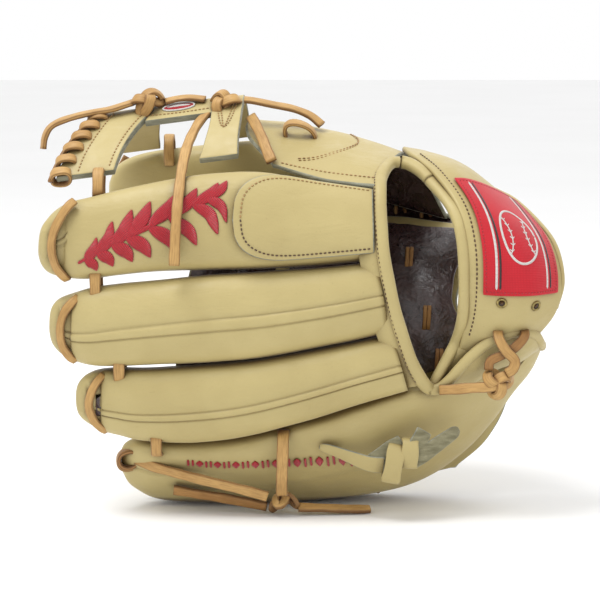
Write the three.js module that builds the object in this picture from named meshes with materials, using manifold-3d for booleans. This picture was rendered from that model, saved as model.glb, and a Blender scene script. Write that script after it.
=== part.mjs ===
// Baseball glove for a right-hand thrower (worn on the left hand), 11.5 inch infield pattern.
// It stands on its little-finger edge: fingers along -X, wrist along +X, back of the hand towards -Y,
// catching side towards +Y, web on top. Millimetres, Z up, Z = 0 is the surface it stands on.
import * as THREE from "three";
import Module from "manifold-3d";

const wasm = await Module();
wasm.setup();

// ---- driving dimensions ----
const ORIGIN = [0.9, 69.2, 0]; // bottom centre of the glove without its free laces
const GAP = 0.35; // clearance between neighbouring pieces
const WALL = 3.6; // finger stall leather with its lining
const HIDE = 2.8; // shell leather
const LACE_W = 6.2; // rawhide lace width
const LACE_T = 2.4; // rawhide lace thickness
const CORD_W = 6.0; // free lace end, width
const CORD_T = 3.4; // free lace end, thickness
const WEB_T = 4.2; // two layers of leather in the web
const ROLL = 6.4; // rolled binding, across
const CREASE = [95, 64, 117]; // palm crease axis goes through here
const ALONG = [0.9913, -0.02, 0.13]; // direction shared by crease, web edge and web fold
const WEB_EDGE = [-60, 30.2, 203.7]; // web turns here, at the index finger
const WEB_FOLD = [-60, 67.5, 235]; // and folds here, under its post
const PINKY_AT = [-85, 30, 45]; // little-finger hinge goes through here
const PINKY_ALONG = [0.983, 0, 0.1839];
const THUMB_OPEN = -2; // degrees
const THUMB_SHUT = 10;
const PINKY_SHUT = 10;
const RISE = 2.3; // web edge turns this many times the thumb
const FOLD = -3.1; // web fold turns this many times the thumb

// ---- vectors ----
const add = (a, b) => a.map((v, i) => v + b[i]);
const sub = (a, b) => a.map((v, i) => v - b[i]);
const mul = (a, k) => a.map((v) => v * k);
const mix = (a, b, t) => a.map((v, i) => v + (b[i] - v) * t);
const dot = (a, b) => a.reduce((s, v, i) => s + v * b[i], 0);
const cross = (a, b) => [
  a[1] * b[2] - a[2] * b[1],
  a[2] * b[0] - a[0] * b[2],
  a[0] * b[1] - a[1] * b[0],
];
const unit = (a) => mul(a, 1 / (Math.hypot(...a) || 1));
const radians = THREE.MathUtils.degToRad;

// Value at t (0..1) of a smooth curve through rows of numbers, evenly spaced in t.
function smooth(rows, t) {
  const last = rows.length - 1;
  const u = Math.min(Math.max(t, 0), 1) * last;
  const i = Math.min(Math.floor(u), last - 1);
  const f = u - i;
  const b = rows[i];
  const c = rows[i + 1];
  const a = rows[i - 1] ?? sub(mul(b, 2), c);
  const d = rows[i + 2] ?? sub(mul(c, 2), b);
  return b.map((_, k) => {
    const m0 = (c[k] - a[k]) / 2;
    const m1 = (d[k] - b[k]) / 2;
    const h = f * f * (3 - 2 * f);
    return b[k] + (c[k] - b[k]) * h + m0 * f * (1 - f) ** 2 - m1 * f * f * (1 - f);
  });
}

// Points spaced evenly along a smooth curve through the given ones.
function along(points, steps, closed = false) {
  const curve = new THREE.CatmullRomCurve3(
    points.map((p) => new THREE.Vector3(...p)),
    closed,
    "centripetal",
  );
  const out = curve.getSpacedPoints(steps).map((p) => p.toArray());
  return closed ? out.slice(0, -1) : out;
}

// ---- solids ----
function solid(verts, tris) {
  let volume = 0;
  for (const [a, b, c] of tris) {
    volume += dot(verts[a], cross(verts[b], verts[c]));
  }
  const order = volume < 0 ? tris.map(([a, b, c]) => [a, c, b]) : tris;
  const mesh = new wasm.Mesh({
    numProp: 3,
    vertProperties: new Float32Array(verts.flat()),
    triVerts: new Uint32Array(order.flat()),
  });
  return new wasm.Manifold(mesh);
}

// Skin over rings of points, with flat ends, or closed on itself.
function skin(rings, closed = false) {
  const n = rings[0].length;
  const verts = rings.flat();
  const tris = [];
  const spans = closed ? rings.length : rings.length - 1;
  for (let i = 0; i < spans; i++) {
    for (let j = 0; j < n; j++) {
      const a = i * n + j;
      const b = i * n + ((j + 1) % n);
      const c = ((i + 1) % rings.length) * n + j;
      const d = ((i + 1) % rings.length) * n + ((j + 1) % n);
      tris.push([a, b, d], [a, d, c]);
    }
  }
  if (!closed) {
    const ends = [0, rings.length - 1];
    ends.forEach((row, side) => {
      const hub = verts.length;
      verts.push(mul(rings[row].reduce(add), 1 / n));
      for (let j = 0; j < n; j++) {
        const a = row * n + j;
        const b = row * n + ((j + 1) % n);
        tris.push(side ? [a, b, hub] : [b, a, hub]);
      }
    });
  }
  return solid(verts, tris);
}

// Leather of a given thickness over a grid of points, moved out along its normal by lift.
function sheet(grid, thick, lift = 0) {
  const m = grid.length;
  const n = grid[0].length;
  const normal = (i, j) => {
    const di = sub(grid[Math.min(i + 1, m - 1)][j], grid[Math.max(i - 1, 0)][j]);
    const dj = sub(grid[i][Math.min(j + 1, n - 1)], grid[i][Math.max(j - 1, 0)]);
    return unit(cross(di, dj));
  };
  const verts = [];
  for (const side of [1, -1]) {
    for (let i = 0; i < m; i++) {
      for (let j = 0; j < n; j++) {
        verts.push(add(grid[i][j], mul(normal(i, j), lift + (side * thick) / 2)));
      }
    }
  }
  const at = (side, i, j) => side * m * n + i * n + j;
  const tris = [];
  const quad = (a, b, c, d) => tris.push([a, b, c], [a, c, d]);
  for (let i = 0; i < m - 1; i++) {
    for (let j = 0; j < n - 1; j++) {
      quad(at(0, i, j), at(0, i + 1, j), at(0, i + 1, j + 1), at(0, i, j + 1));
      quad(at(1, i, j), at(1, i, j + 1), at(1, i + 1, j + 1), at(1, i + 1, j));
    }
  }
  for (let i = 0; i < m - 1; i++) {
    quad(at(0, i, 0), at(1, i, 0), at(1, i + 1, 0), at(0, i + 1, 0));
    quad(at(0, i, n - 1), at(0, i + 1, n - 1), at(1, i + 1, n - 1), at(1, i, n - 1));
  }
  for (let j = 0; j < n - 1; j++) {
    quad(at(0, 0, j), at(0, 0, j + 1), at(1, 0, j + 1), at(1, 0, j));
    quad(at(0, m - 1, j), at(1, m - 1, j), at(1, m - 1, j + 1), at(0, m - 1, j + 1));
  }
  return solid(verts, tris);
}

// A strand swept along points: flat (four corners) or rounded. face is the way its flat side looks.
function strand(points, { w = LACE_W, t = LACE_T, face = [0, -1, 0], steps, closed = false, n = 4 } = {}) {
  const count = steps ?? Math.max(4, points.length * 2);
  const path = along(points, count, closed);
  const faces = Array.isArray(face[0]) ? face : [face, face];
  const last = path.length - 1;
  const rings = path.map((p, i) => {
    const before = closed ? path[(i + last) % path.length] : path[Math.max(i - 1, 0)];
    const after = closed ? path[(i + 1) % path.length] : path[Math.min(i + 1, last)];
    const dir = unit(sub(after, before));
    const want = smooth(faces, closed ? 0 : i / last);
    const up = unit(sub(want, mul(dir, dot(want, dir))));
    const wide = cross(dir, up);
    const ring = [];
    for (let k = 0; k < n; k++) {
      const a = ((k + 0.5) / n) * 2 * Math.PI;
      const reach = n === 4 ? Math.SQRT2 / 2 : 0.5;
      const across = mul(wide, Math.cos(a) * w * reach);
      ring.push(add(p, add(across, mul(up, Math.sin(a) * t * reach))));
    }
    return ring;
  });
  return skin(rings, closed);
}

// A closed lace loop that turns in the plane of two half axes.
function loop(centre, half1, half2, { w = LACE_W, t = LACE_T, steps = 10 } = {}) {
  const wide = unit(cross(half1, half2));
  const rings = [];
  for (let i = 0; i < steps; i++) {
    const a = (i / steps) * 2 * Math.PI;
    const p = add(centre, add(mul(half1, Math.cos(a)), mul(half2, Math.sin(a))));
    const dir = unit(add(mul(half1, -Math.sin(a)), mul(half2, Math.cos(a))));
    const out = cross(dir, wide);
    rings.push([
      add(p, add(mul(wide, w / 2), mul(out, t / 2))),
      add(p, add(mul(wide, -w / 2), mul(out, t / 2))),
      add(p, add(mul(wide, -w / 2), mul(out, -t / 2))),
      add(p, add(mul(wide, w / 2), mul(out, -t / 2))),
    ]);
  }
  return skin(rings, true);
}

// A knot: two turns of lace pulled tight over a core.
function knot(centre, first, second, depth) {
  const core = new THREE.IcosahedronGeometry(1, 0);
  const place = core.getAttribute("position");
  const verts = [];
  const tris = [];
  const seen = new Map();
  for (let i = 0; i < place.count; i++) {
    const p = [place.getX(i), place.getY(i), place.getZ(i)];
    const key = p.map((v) => v.toFixed(4)).join();
    if (!seen.has(key)) {
      seen.set(key, verts.length);
      const q = add(mul(first, p[0] * 0.8), add(mul(second, p[1] * 0.8), mul(depth, p[2] * 0.8)));
      verts.push(add(centre, q));
    }
    if (i % 3 === 0) tris.push([]);
    tris[tris.length - 1].push(seen.get(key));
  }
  const turn1 = loop(centre, mul(first, 0.72), depth, { w: LACE_W, steps: 7 });
  const turn2 = loop(centre, mul(second, 0.72), mul(depth, 0.9), { w: LACE_W, steps: 7 });
  return solid(verts, tris).add(turn1).add(turn2);
}

// ---- finger stalls: rows of top edge, bottom edge and thickness from the tip to the base ----
const STALLS = {
  index: [
    [-146, 9, 168, -147, 10, 152, 7],
    [-142, 12, 175, -145, 14, 144, 16],
    [-134, 17, 182.5, -137, 17, 140.5, 22],
    [-121, 20, 186, -123, 14, 139.5, 26],
    [-104, 21, 190, -104, 12, 142, 28],
    [-80, 22, 195, -80, 10, 144.6, 29],
    [-50, 22, 199.5, -50, 9, 145.6, 30],
    [-20, 23, 200, -20, 8, 146.4, 30],
    [12, 24, 193, 12, 8, 148.6, 28],
    [42, 22, 188, 43, 8, 151.8, 24],
  ],
  middle: [
    [-141, 12, 121, -141.5, 12, 104, 7],
    [-139, 13, 127, -139, 15, 97, 15],
    [-131, 15, 131, -132, 19, 92.6, 22],
    [-120, 13, 134.5, -120, 17, 89.5, 26],
    [-104, 12, 137, -104, 14, 89.4, 28],
    [-80, 10, 139.5, -80, 11, 91, 29],
    [-50, 9, 143, -50, 9, 92.4, 30],
    [-20, 8, 145, -20, 8, 95.2, 30],
    [15, 8, 147.2, 18, 8, 102.4, 28],
    [44, 8, 150.6, 51, 8, 109.6, 24],
  ],
  ring: [
    [-126, 12, 77, -126.5, 13, 62, 7],
    [-124, 14, 82, -124, 17, 56, 14],
    [-116, 18, 86, -117, 23, 50.5, 20],
    [-104, 16, 87.4, -104, 22, 47.5, 24],
    [-88, 12, 88, -88, 18, 45, 26],
    [-60, 10, 90.4, -60, 14, 44.6, 28],
    [-30, 9, 93.2, -30, 12, 48.6, 29],
    [0, 8, 98, 0, 10, 57, 29],
    [30, 8, 104, 34, 9, 68, 28],
    [53, 8, 108.2, 62, 9, 76, 24],
  ],
  pinky: [
    [-106, 33, 34, -104, 40, 20, 6],
    [-103, 29, 39, -99, 44, 13, 14],
    [-94, 25, 42.4, -90, 50, 7, 20],
    [-80, 21, 42, -76, 54, 4, 23],
    [-55, 18, 42, -52, 56, 3, 25],
    [-28, 15, 46.2, -24, 56, 3.4, 26],
    [2, 12, 54.6, 8, 56, 4.4, 27],
    [34, 10, 66, 42, 55, 7.4, 26],
    [60, 10, 75, 72, 54, 15, 22],
    [80, 10, 80, 94, 52, 29, 15],
    [96, 10, 92, 112, 52, 47, 10],
    [110, 10.5, 102, 126, 52, 66, 8],
    [123, 12, 106.5, 136, 50, 80, 7],
    [132, 16, 106.5, 141, 44, 93, 6],
    [136, 21, 105, 142, 38, 98, 5],
  ],
  thumb: [
    [-118, 128, 186, -118, 131, 170, 7],
    [-114, 124, 195, -115, 134, 161, 15],
    [-104, 121, 201, -105, 136, 156, 21],
    [-88, 118, 205, -88, 137, 154, 25],
    [-60, 115, 208, -60, 137, 154, 27],
    [-30, 112, 211, -30, 136, 155, 27],
    [-5, 108, 212, -5, 134, 157, 26],
    [14, 104, 210, 14, 132, 160, 24],
  ],
};

// Centre, half width and half thickness of a stall at t, the thickness pointing to its back.
function section(rows, t) {
  const [tx, ty, tz, bx, by, bz, thick] = smooth(rows, t);
  const top = [tx, ty, tz];
  const low = [bx, by, bz];
  const ahead = smooth(rows, Math.min(t + 0.02, 1));
  const behind = smooth(rows, Math.max(t - 0.02, 0));
  const middle = (r) => [(r[0] + r[3]) / 2, (r[1] + r[4]) / 2, (r[2] + r[5]) / 2];
  const dir = sub(middle(ahead), middle(behind));
  const half = mul(sub(top, low), 0.5);
  let face = unit(cross(half, dir));
  if (face[1] > 0) face = mul(face, -1);
  return { centre: mix(top, low, 0.5), half, back: mul(face, thick / 2) };
}

// Point of a stall's skin at t, and at an angle from its top edge round its back; shrunk by inset.
function skinPoint(rows, t, angle, inset = 0) {
  const { centre, half, back } = section(rows, t);
  const power = 0.82;
  const c = Math.sign(Math.cos(angle)) * Math.abs(Math.cos(angle)) ** power;
  const s = Math.sign(Math.sin(angle)) * Math.abs(Math.sin(angle)) ** power;
  const h = Math.hypot(...half);
  const b = Math.hypot(...back);
  const wide = mul(half, (c * Math.max(h - inset, 1)) / h);
  return add(centre, add(wide, mul(back, (s * Math.max(b - inset, 1)) / b)));
}

function ringOf(rows, t, n, inset = 0, shift = [0, 0, 0]) {
  const ring = [];
  for (let k = 0; k < n; k++) {
    ring.push(add(skinPoint(rows, t, ((k + 0.5) / n) * 2 * Math.PI, inset), shift));
  }
  return ring;
}

// A hollow stall. Its hollow starts a little way from the tip and runs out at t = exit, moved by way.
function stall(rows, steps, start, exit, way) {
  const outer = [];
  for (let i = 0; i <= steps; i++) outer.push(ringOf(rows, (i / steps) ** 1.15, 12));
  const inner = [];
  const turns = 5;
  for (let i = 0; i <= turns; i++) {
    inner.push(ringOf(rows, start + ((exit - start) * i) / turns, 8, WALL));
  }
  const end = inner[inner.length - 1];
  inner.push(end.map((p) => add(p, way)));
  return skin(outer).subtract(skin(inner));
}

// Part of a stall's back, as a grid between two t and two angles.
function patchOf(rows, t0, t1, a0, a1, m, n) {
  const grid = [];
  for (let i = 0; i <= m; i++) {
    const line = [];
    for (let j = 0; j <= n; j++) {
      line.push(skinPoint(rows, t0 + ((t1 - t0) * i) / m, a0 + ((a1 - a0) * j) / n));
    }
    grid.push(line);
  }
  return grid;
}

// Grid through a net of rows of points, for parameters u across rows and v along each row.
function net(rows, us, vs) {
  return us.map((u) => vs.map((v) => smooth(rows.map((row) => smooth(row, v)), u)));
}
const span = (a, b, n) => Array.from({ length: n + 1 }, (_, i) => a + ((b - a) * i) / n);

// ---- palm: rows run from the fingers to the heel, listed from the little-finger edge to the thumb ----
const PALM = [
  [[-66, 74, 2.4], [25, 77, 2.4], [94, 70, 18]],
  [[-50, 68, 9], [30, 67, 9], [112, 66, 36]],
  [[-40, 61, 24], [35, 61, 27], [123, 62, 60]],
  [[-36, 55, 49], [38, 59, 60], [122, 58, 84]],
  [[-35, 53, 74], [40, 59, 86], [104, 59, 102]],
  [[-34, 60, 100], [40, 63.5, 109.5], [93, 64, 117]],
  [[-20, 76, 124], [42, 80, 132], [98, 76, 134]],
  [[-14, 98, 142], [44, 102, 150], [106, 92, 149]],
  [[-6, 126, 152], [44, 126, 163], [98, 110, 160]],
];
const palm = (a, b, steps, v0 = 0, v1 = 1, run = 8) => net(PALM, span(a / 8, b / 8, steps), span(v0, v1, run));

// ---- back of the thumb, from the cut edge over the ridge to the far edge ----
const THUMB_BACK = [
  [[-15, 36, 203], [3, 28.5, 198], [20, 22, 194.6], [44, 15, 193]],
  [[-22, 45, 210], [0, 42, 207], [22, 38, 205], [49, 32, 201.5]],
  [[-30, 60, 219], [-2, 60, 216.5], [26, 57, 213], [56, 52, 206.5]],
  [[-29, 78, 225.5], [-2, 80, 223], [28, 76, 217.5], [62, 70, 207]],
  [[-12, 97, 222], [6, 100, 219], [36, 98, 210], [70, 90, 199]],
  [[10, 116, 208], [22, 120, 202], [46, 118, 193], [80, 106, 184]],
  [[18, 132, 184], [30, 134, 180], [52, 132, 174], [90, 115, 165]],
];

// ---- web ----
const drop = (x) => x + 60;
const webEdge = (x) => [x, 30.2 - 0.02 * drop(x), 204.6 + 0.131 * drop(x)];
const webTop = (x) => [x, 70 - 0.02 * drop(x), 238 + 0.131 * drop(x)];
const webThumb = (x) => [x, 113.5 - 0.02 * drop(x), 211.6 + 0.131 * drop(x)];
function webGrid(lower, upper, left, right, v0, v1, m, bulge) {
  const grid = [];
  for (let i = 0; i <= m; i++) {
    const v = v0 + ((v1 - v0) * i) / m;
    const line = [];
    for (let j = 0; j <= 3; j++) {
      const x = mix(smooth(left, v), smooth(right, v), j / 3)[0];
      const swell = Math.sin(Math.PI * v) * bulge;
      line.push(add(mix(lower(x), upper(x), v), [0, 0, swell]));
    }
    grid.push(line);
  }
  return grid;
}
const TIP_LEFT = [[-141], [-137], [-131], [-124.5], [-118]];
const TIP_RIGHT = [[-108], [-104.5], [-99], [-92], [-84]];
const BASE_LEFT = [[-58], [-55], [-52.5], [-51.5], [-51.5]];
const BASE_RIGHT = [[-36], [-36], [-35], [-34], [-33]];

// ---- wrist strap: rows run from the edge by the opening to the outer edge ----
const STRAP = [
  [[92.5, 12, 100], [105, 9, 99.5], [118, 12, 100], [131.5, 20, 101]],
  [[96, 4, 120], [112, -1, 119.5], [129, 1, 120], [145.4, 12, 121]],
  [[96.4, -2, 142], [113, -6, 141], [131, -3, 140], [148.6, 13, 139]],
  [[95, -2, 163], [111, -3, 162], [129, 5, 159], [145, 25, 157]],
  [[90, 6, 182], [104, 10, 180.5], [121, 21, 175], [136.5, 42, 169]],
  [[78, 28, 198.5], [92, 32, 198], [108, 42, 191], [125, 60, 179]],
  [[66, 50, 207.5], [82, 54, 206], [98, 64, 199], [115, 80, 183]],
  [[62, 72, 210], [78, 78, 206], [94, 88, 196], [109, 97, 181]],
];
const strap = (a, b, c, d, m, n) => net(STRAP, span(a, b, m), span(c, d, n));

// ---- rolled bindings ----
const MOUTH = [
  [58, 62, 203.5], [52.5, 48, 203], [49, 36, 202], [46.4, 24, 197], [45.6, 12, 189], [45.8, 3, 173],
  [47.4, -1.5, 155], [52, -2.5, 131], [57.5, -2.5, 111], [64, -1, 93], [71, 3, 80.5],
];
const STRAP_EDGE = [
  [90, 12.5, 104], [93, 3.6, 120], [93.2, -1.6, 142], [91.8, -1.6, 163], [87, 7, 180.5],
  [75, 28.5, 195], [63, 50, 203],
];
const STRAP_OUTER = [
  [146.5, 13, 123], [150.2, 14, 139], [147, 26, 157.5], [138.5, 43, 169.5], [127, 61, 180], [117, 80.5, 184.5],
];

// ---- where pieces go ----
const BACK = [0, -1, 0];
const HALF_TURN = Math.PI / 2;
const pieces = [];
const LEATHER = { colour: 0xddd0a0, rough: 0.55 };
const LACE = { colour: 0xc9a468, rough: 0.6 };
const RAW = { colour: 0x9a9a92, rough: 0.85 };
const LINING = { colour: 0x4a3838, rough: 0.4 };
const FELT = { colour: 0xd8d2c2, rough: 0.95 };
const RED = { colour: 0xcd202c, rough: 0.5 };
const BRASS = { colour: 0xb09a5a, rough: 0.35, metal: 1 };
function piece(name, body, look, raw) {
  pieces.push({ name, body, look, raw });
}

// Free lace ends: their routes, from where each leaves the glove to its cut end.
const ENDS = {
  web_lace_end: [
    [-99, 66, 238], [-112, 65, 234], [-126, 64, 231.5], [-139, 63, 228], [-147, 62, 224], [-150.5, 61, 218],
    [-151.5, 60, 211],
  ],
  crotch_lace_end: [
    [-53, 62, 233.5], [-59.5, 50, 226.5], [-65, 34, 215], [-67.5, 17, 202.5], [-69, 2, 187], [-70, -5.5, 172],
    [-70.6, -7.5, 159], [-71, -8, 150],
  ],
  pinky_lace_span: [
    [-96, 26, 31.5], [-86, 20.5, 28.5], [-74, 16, 26], [-58, 12, 22.6], [-44, 10, 19.6], [-30, 10, 16],
    [-19, 11, 12.6],
  ],
  pinky_lace_short_end: [
    [-19.5, 19.5, 4.6], [-34, 22, 7], [-48, 22.5, 9.6], [-62, 23.5, 11.6], [-74, 25, 13.4],
  ],
  pinky_lace_long_end: [
    [-1, 17, 4.8], [9, 17.5, 4.4], [20, 18.5, 3.8], [31, 20, 3.1], [41, 22, 2.6],
  ],
  wrist_lace_end: [
    [114, -4.4, 80.4], [106, -3.9, 79.7], [98, -3, 79.2], [90, -1.5, 78.2], [84, 0, 77.6], [80, 1.1, 77.3],
  ],
};
const END_FACES = {
  web_lace_end: [[0, -0.3, 1], [-0.3, -0.3, 1], [-1, -0.4, 0.3]],
  crotch_lace_end: [[-0.5, -0.7, 0.6], [0, -0.8, 0.6], [0, -1, 0.1]],
  pinky_lace_span: [[0, -1, 0.1], [0, -1, -0.3], [0, -1, 0]],
  pinky_lace_short_end: [[0, -1, -0.4], [0, -1, -0.4]],
  pinky_lace_long_end: [[0, -0.6, 1], [0, -0.4, 1]],
  wrist_lace_end: [[0, -1, 0.2], [0, -1, 0.2]],
};
const END_BODY = {
  web_lace_end: "web_front",
  crotch_lace_end: "web_front",
  pinky_lace_span: "pinky_side",
  pinky_lace_short_end: "pinky_side",
  pinky_lace_long_end: "pinky_side",
  wrist_lace_end: "pinky_side",
};
for (const [name, route] of Object.entries(ENDS)) {
  const raw = strand(route, {
    w: CORD_W,
    t: CORD_T,
    face: END_FACES[name],
    steps: route.length * 2,
    n: 8,
  });
  piece(name, END_BODY[name], LACE, raw);
}

// Knots.
piece("web_knot", "web_front", LACE, knot([-90.5, 65, 239], [10, 0, 2], [0, 5.5, 5], [0, -4.5, 5]));
piece("crotch_knot", "web_front", LACE, knot([-45, 62, 238], [9, 0, 3], [-2, 6, 6], [0, -5, 5]));
piece("ring_pinky_knot", "pinky_side", LACE, knot([-100.5, 29, 31], [6.5, 0, 1], [0, 3, 6.5], [0, -5, 1.5]));
piece("pinky_edge_knot", "pinky_side", LACE, knot([-10, 18, 8.64], [9, 0, 1], [0, 6.4, -2], [0, 3, 6.2]));
piece("wrist_knot", "pinky_side", LACE, knot([113, -2.5, 82], [8, 0, -1], [1, 1, 8], [0, -4.5, 0.5]));

// Laces round the fingertips.
const tips = {
  index: [[-133, 5, 183], [-138, 3, 177], [-142.5, 2.5, 168], [-144, 2.5, 158], [-142, 5, 148], [-137, 9, 141]],
  middle: [[-132, 5, 128], [-137.5, 5, 121], [-140, 5.5, 112], [-139, 6.5, 102], [-134, 9, 94]],
  ring: [[-118, 9, 82], [-122.5, 8, 75], [-124.5, 8.5, 66.5], [-122, 11, 57.5], [-116, 15, 51]],
};
for (const [finger, route] of Object.entries(tips)) {
  const body = "finger_side";
  piece(`${finger}_tip_lace`, body, LACE, strand(route, { face: [-0.35, -1, 0], steps: 12 }));
}
piece("thumb_tip_lace", "thumb_side", LACE, strand(
  [[-108, 142, 200], [-113, 140, 190], [-116, 139, 179], [-113, 143, 168], [-108, 146, 160]],
  { face: [-0.4, 1, 0], steps: 10 },
));

// Laces that hold neighbouring fingertips together.
piece("index_middle_lace", "finger_side", LACE, loop([-117, 15, 137], [0, 0, 9.5], [0, -9, 0]));
piece("middle_ring_lace", "finger_side", LACE, loop([-104, 16, 88.4], [0, 0, 9], [0, -9, 0]));
piece("ring_pinky_lace", "pinky_side", LACE, loop([-83, 17, 43.4], [0, 1.5, -7], [0, -9, 0]));
piece("index_web_lace", "web_front", LACE, loop([-116, 28, 192], [0, 4, 8], [0, -7, 4]));
piece("thumb_web_lace", "thumb_side", LACE, loop([-80, 113, 206.5], [0, -1, 8.5], [0, -7.5, -1]));

// Vertical lace across the little finger, and the laces of the crotch.
piece("pinky_cross_lace", "pinky_side", LACE, strand(
  [[-9.5, 12, 51.5], [-9.8, 4.5, 47], [-10, 2.5, 38], [-10.4, 4.5, 28], [-10.6, 8.5, 19], [-10.5, 11.5, 13.6]],
  { w: 7, face: [[0, -1, 0.6], [0, -1, 0.1], [0, -1, -0.5]], steps: 10 },
));
piece("crotch_lace_front", "thumb_side", LACE, strand(
  [[-29, 63, 230], [-26.5, 56, 226.5], [-22.5, 46, 219.3], [-19, 37, 211.4], [-16.5, 31, 206]],
  { w: 6.6, face: [-0.4, -0.8, 0.7], steps: 9 },
));
piece("crotch_lace_top", "web_front", LACE, strand(
  [[-37.5, 66.5, 240], [-28, 68, 239], [-16, 70, 236.5], [-4, 72, 234], [6, 72, 230], [13, 70, 224.5]],
  { face: [0, -0.5, 1], steps: 12 },
));
piece("crotch_lace_inner", "thumb_side", LACE, loop([0, 62, 219.5], [9, 1, -2.5], [0, -3, 6.5]));
piece("web_post_lace", "web_front", LACE, strand(
  [[-79.5, 66.5, 238.6], [-72, 67, 240.2], [-64, 67, 240.8], [-56, 66, 240]],
  { face: [0, -0.4, 1], steps: 6, t: 2.2 },
));

// Lacing over the outer edge of the web's tip bar.
const bound = [];
for (let i = 0; i < 6; i++) {
  const v = 0.06 + i * 0.165;
  const x = smooth(TIP_LEFT, v)[0];
  const p = add(mix(webEdge(x), webTop(x), v), [1.6, 0, 2.6 * Math.sin(Math.PI * v)]);
  bound.push(loop(p, [5.4, 0, 0.6], [0, -3.1, 3.6], { w: 5.6, steps: 6 }));
}
const bindRun = strand(
  span(0, 1, 6).map((v) => {
    const x = smooth(TIP_LEFT, v)[0];
    return add(mix(webEdge(x), webTop(x), v), [-3.2, 0, 2.6 * Math.sin(Math.PI * v)]);
  }),
  { w: 3, t: 2, steps: 8 },
);
piece("web_tip_binding", "web_front", LACE, bound.reduce((a, b) => a.add(b), bindRun));

// Heel lacing along the lower and the far edge.
const heelRun = [
  [20, 63, 5.5], [34, 63, 6.5], [50, 62.5, 9], [66, 62, 14], [80, 61, 21], [94, 60, 31], [106, 59, 43],
];
const heelTurns = span(0.1, 0.92, 4).map((t) => {
  const p = smooth(heelRun, t);
  return loop(add(p, [0, 1, 1]), [2.6, 0, 3.2], [0, 7.5, 1], { w: 6, steps: 6 });
});
piece("heel_lace", "pinky_side", LACE, heelTurns.reduce((a, b) => a.add(b), strand(heelRun, { w: 4, t: 2.4, steps: 9 })));
const farRun = [[22, 134, 171], [38, 135, 169.5], [54, 133, 166.5], [70, 127.5, 163], [84, 120, 160]];
const farTurns = span(0.1, 0.9, 3).map((t) => {
  return loop(smooth(farRun, t), [3, 0, -0.4], [-0.5, 2.5, 7], { w: 6, steps: 6 });
});
piece("thumb_edge_lace", "thumb_side", LACE, farTurns.reduce((a, b) => a.add(b), strand(farRun, { w: 4, t: 2.4, steps: 7 })));

// Wrist lacing between the strap and the heel.
const wristOver = strand(
  [[113, 3, 112], [113.2, -3.4, 107.5], [117, -5, 101], [122, -5, 95.5], [121, -5.4, 90.5], [117.6, -4.6, 88]],
  { w: 5.6, face: [0, -1, 0.15], steps: 12 },
);
const wristUnder = strand(
  [[127.5, 10, 113], [128.2, 1.6, 108.6], [123, -2.4, 103], [116, -3, 98.5], [108.6, -1.9, 94.6], [107.6, -1.6, 89.5]],
  { w: 5.2, t: 2.6, face: [[0.2, -1, 0.2], [0, -1, 0]], steps: 12 },
);
piece("wrist_lace", "pinky_side", LACE, wristOver.add(wristUnder));

// Leather bow of the little-finger loop: the knot with its right end, and the left end.
const bowKnot = knot([56, 1.5, 37.5], [12, 0, 3.5], [-3, 1.5, 9], [0, -5, 0.5]);
const bowRight = strand(
  [[58, 1.7, 38], [66.6, 1.5, 40.4], [77, 2.4, 44.5], [86, 6.2, 46.8], [94, 10.8, 48]],
  { w: 11.5, t: 2.4, face: [0.2, -1, 0.1], steps: 7 },
);
piece("pinky_loop_knot", "pinky_side", LEATHER, bowKnot.add(bowRight));
piece("pinky_loop_left_end", "pinky_side", LEATHER, strand(
  [[13, 7.6, 40], [21, 5.6, 38], [31, 4.2, 35.5], [45.5, 2.0, 35.4]],
  { w: 11, t: 2.2, face: [0, -1, -0.25], steps: 6 },
));

// Eyelets.
function eyelet(centre, facing) {
  const side = unit(cross(facing, [0, 0, 1]));
  const rise = cross(side, facing);
  return loop(centre, mul(side, 2.5), mul(rise, 2.5), { w: 1.6, t: 1.2, steps: 12 });
}
piece("eyelet_left", "finger_side", BRASS, eyelet([114.5, -5.4, 128.4], [0.1, -1, 0.05]));
piece("eyelet_right", "finger_side", BRASS, eyelet([132.5, 0.6, 127.8], [0.45, -0.9, 0.05]));

// Patch on the strap.
piece("strap_patch", "finger_side", RED, sheet(strap(0.29, 0.705, 0.17, 0.93, 6, 4), 1.4, -2.9));

// Rolled bindings.
const roll = (route, steps, t = 8) => strand(route, { w: ROLL, t, face: [-1, 0, 0], steps, n: 8 });
piece("opening_binding", "finger_side", LEATHER, roll(MOUTH, 18, 5.4));
piece("strap_binding", "finger_side", LEATHER, roll(STRAP_EDGE, 14, 4.4));
piece("strap_outer_binding", "finger_side", LEATHER, strand(STRAP_OUTER, { w: 4, t: 4, n: 6, steps: 10 }));

// Web leather.
const tipFront = webGrid(webEdge, webTop, TIP_LEFT, TIP_RIGHT, 0.03, 0.975, 6, 2.6);
const baseFront = webGrid(webEdge, webTop, BASE_LEFT, BASE_RIGHT, 0.03, 0.975, 5, 2.6);
const postFront = webGrid(webEdge, webTop, [[-103], [-98.6], [-91.4], [-83.6]], [[-58], [-53], [-52], [-52]], 0.7, 0.975, 2, 2.6);
const flip = (list) => [...list].reverse();
const tipBack = webGrid(webTop, webThumb, flip(TIP_LEFT.slice(3)).concat([[-115]]), [[-84], [-84], [-86]], 0.03, 0.97, 4, 2.6);
const baseBack = webGrid(webTop, webThumb, [[-51.5], [-54]], [[-33], [-30]], 0.03, 0.97, 4, 2.6);
const postBack = webGrid(webTop, webThumb, [[-83.6], [-83.8], [-85], [-86]], [[-52], [-53]], 0.03, 0.3, 2, 2.6);
piece("web_tip_bar_front", "web_front", LEATHER, sheet(tipFront, WEB_T));
piece("web_base_bar_front", "web_front", LEATHER, sheet(baseFront, WEB_T));
piece("web_post_front", "web_front", LEATHER, sheet(postFront, WEB_T));
piece("web_tip_bar_back", "web_back", LEATHER, sheet(tipBack, WEB_T));
piece("web_base_bar_back", "web_back", LEATHER, sheet(baseBack, WEB_T));
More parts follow.
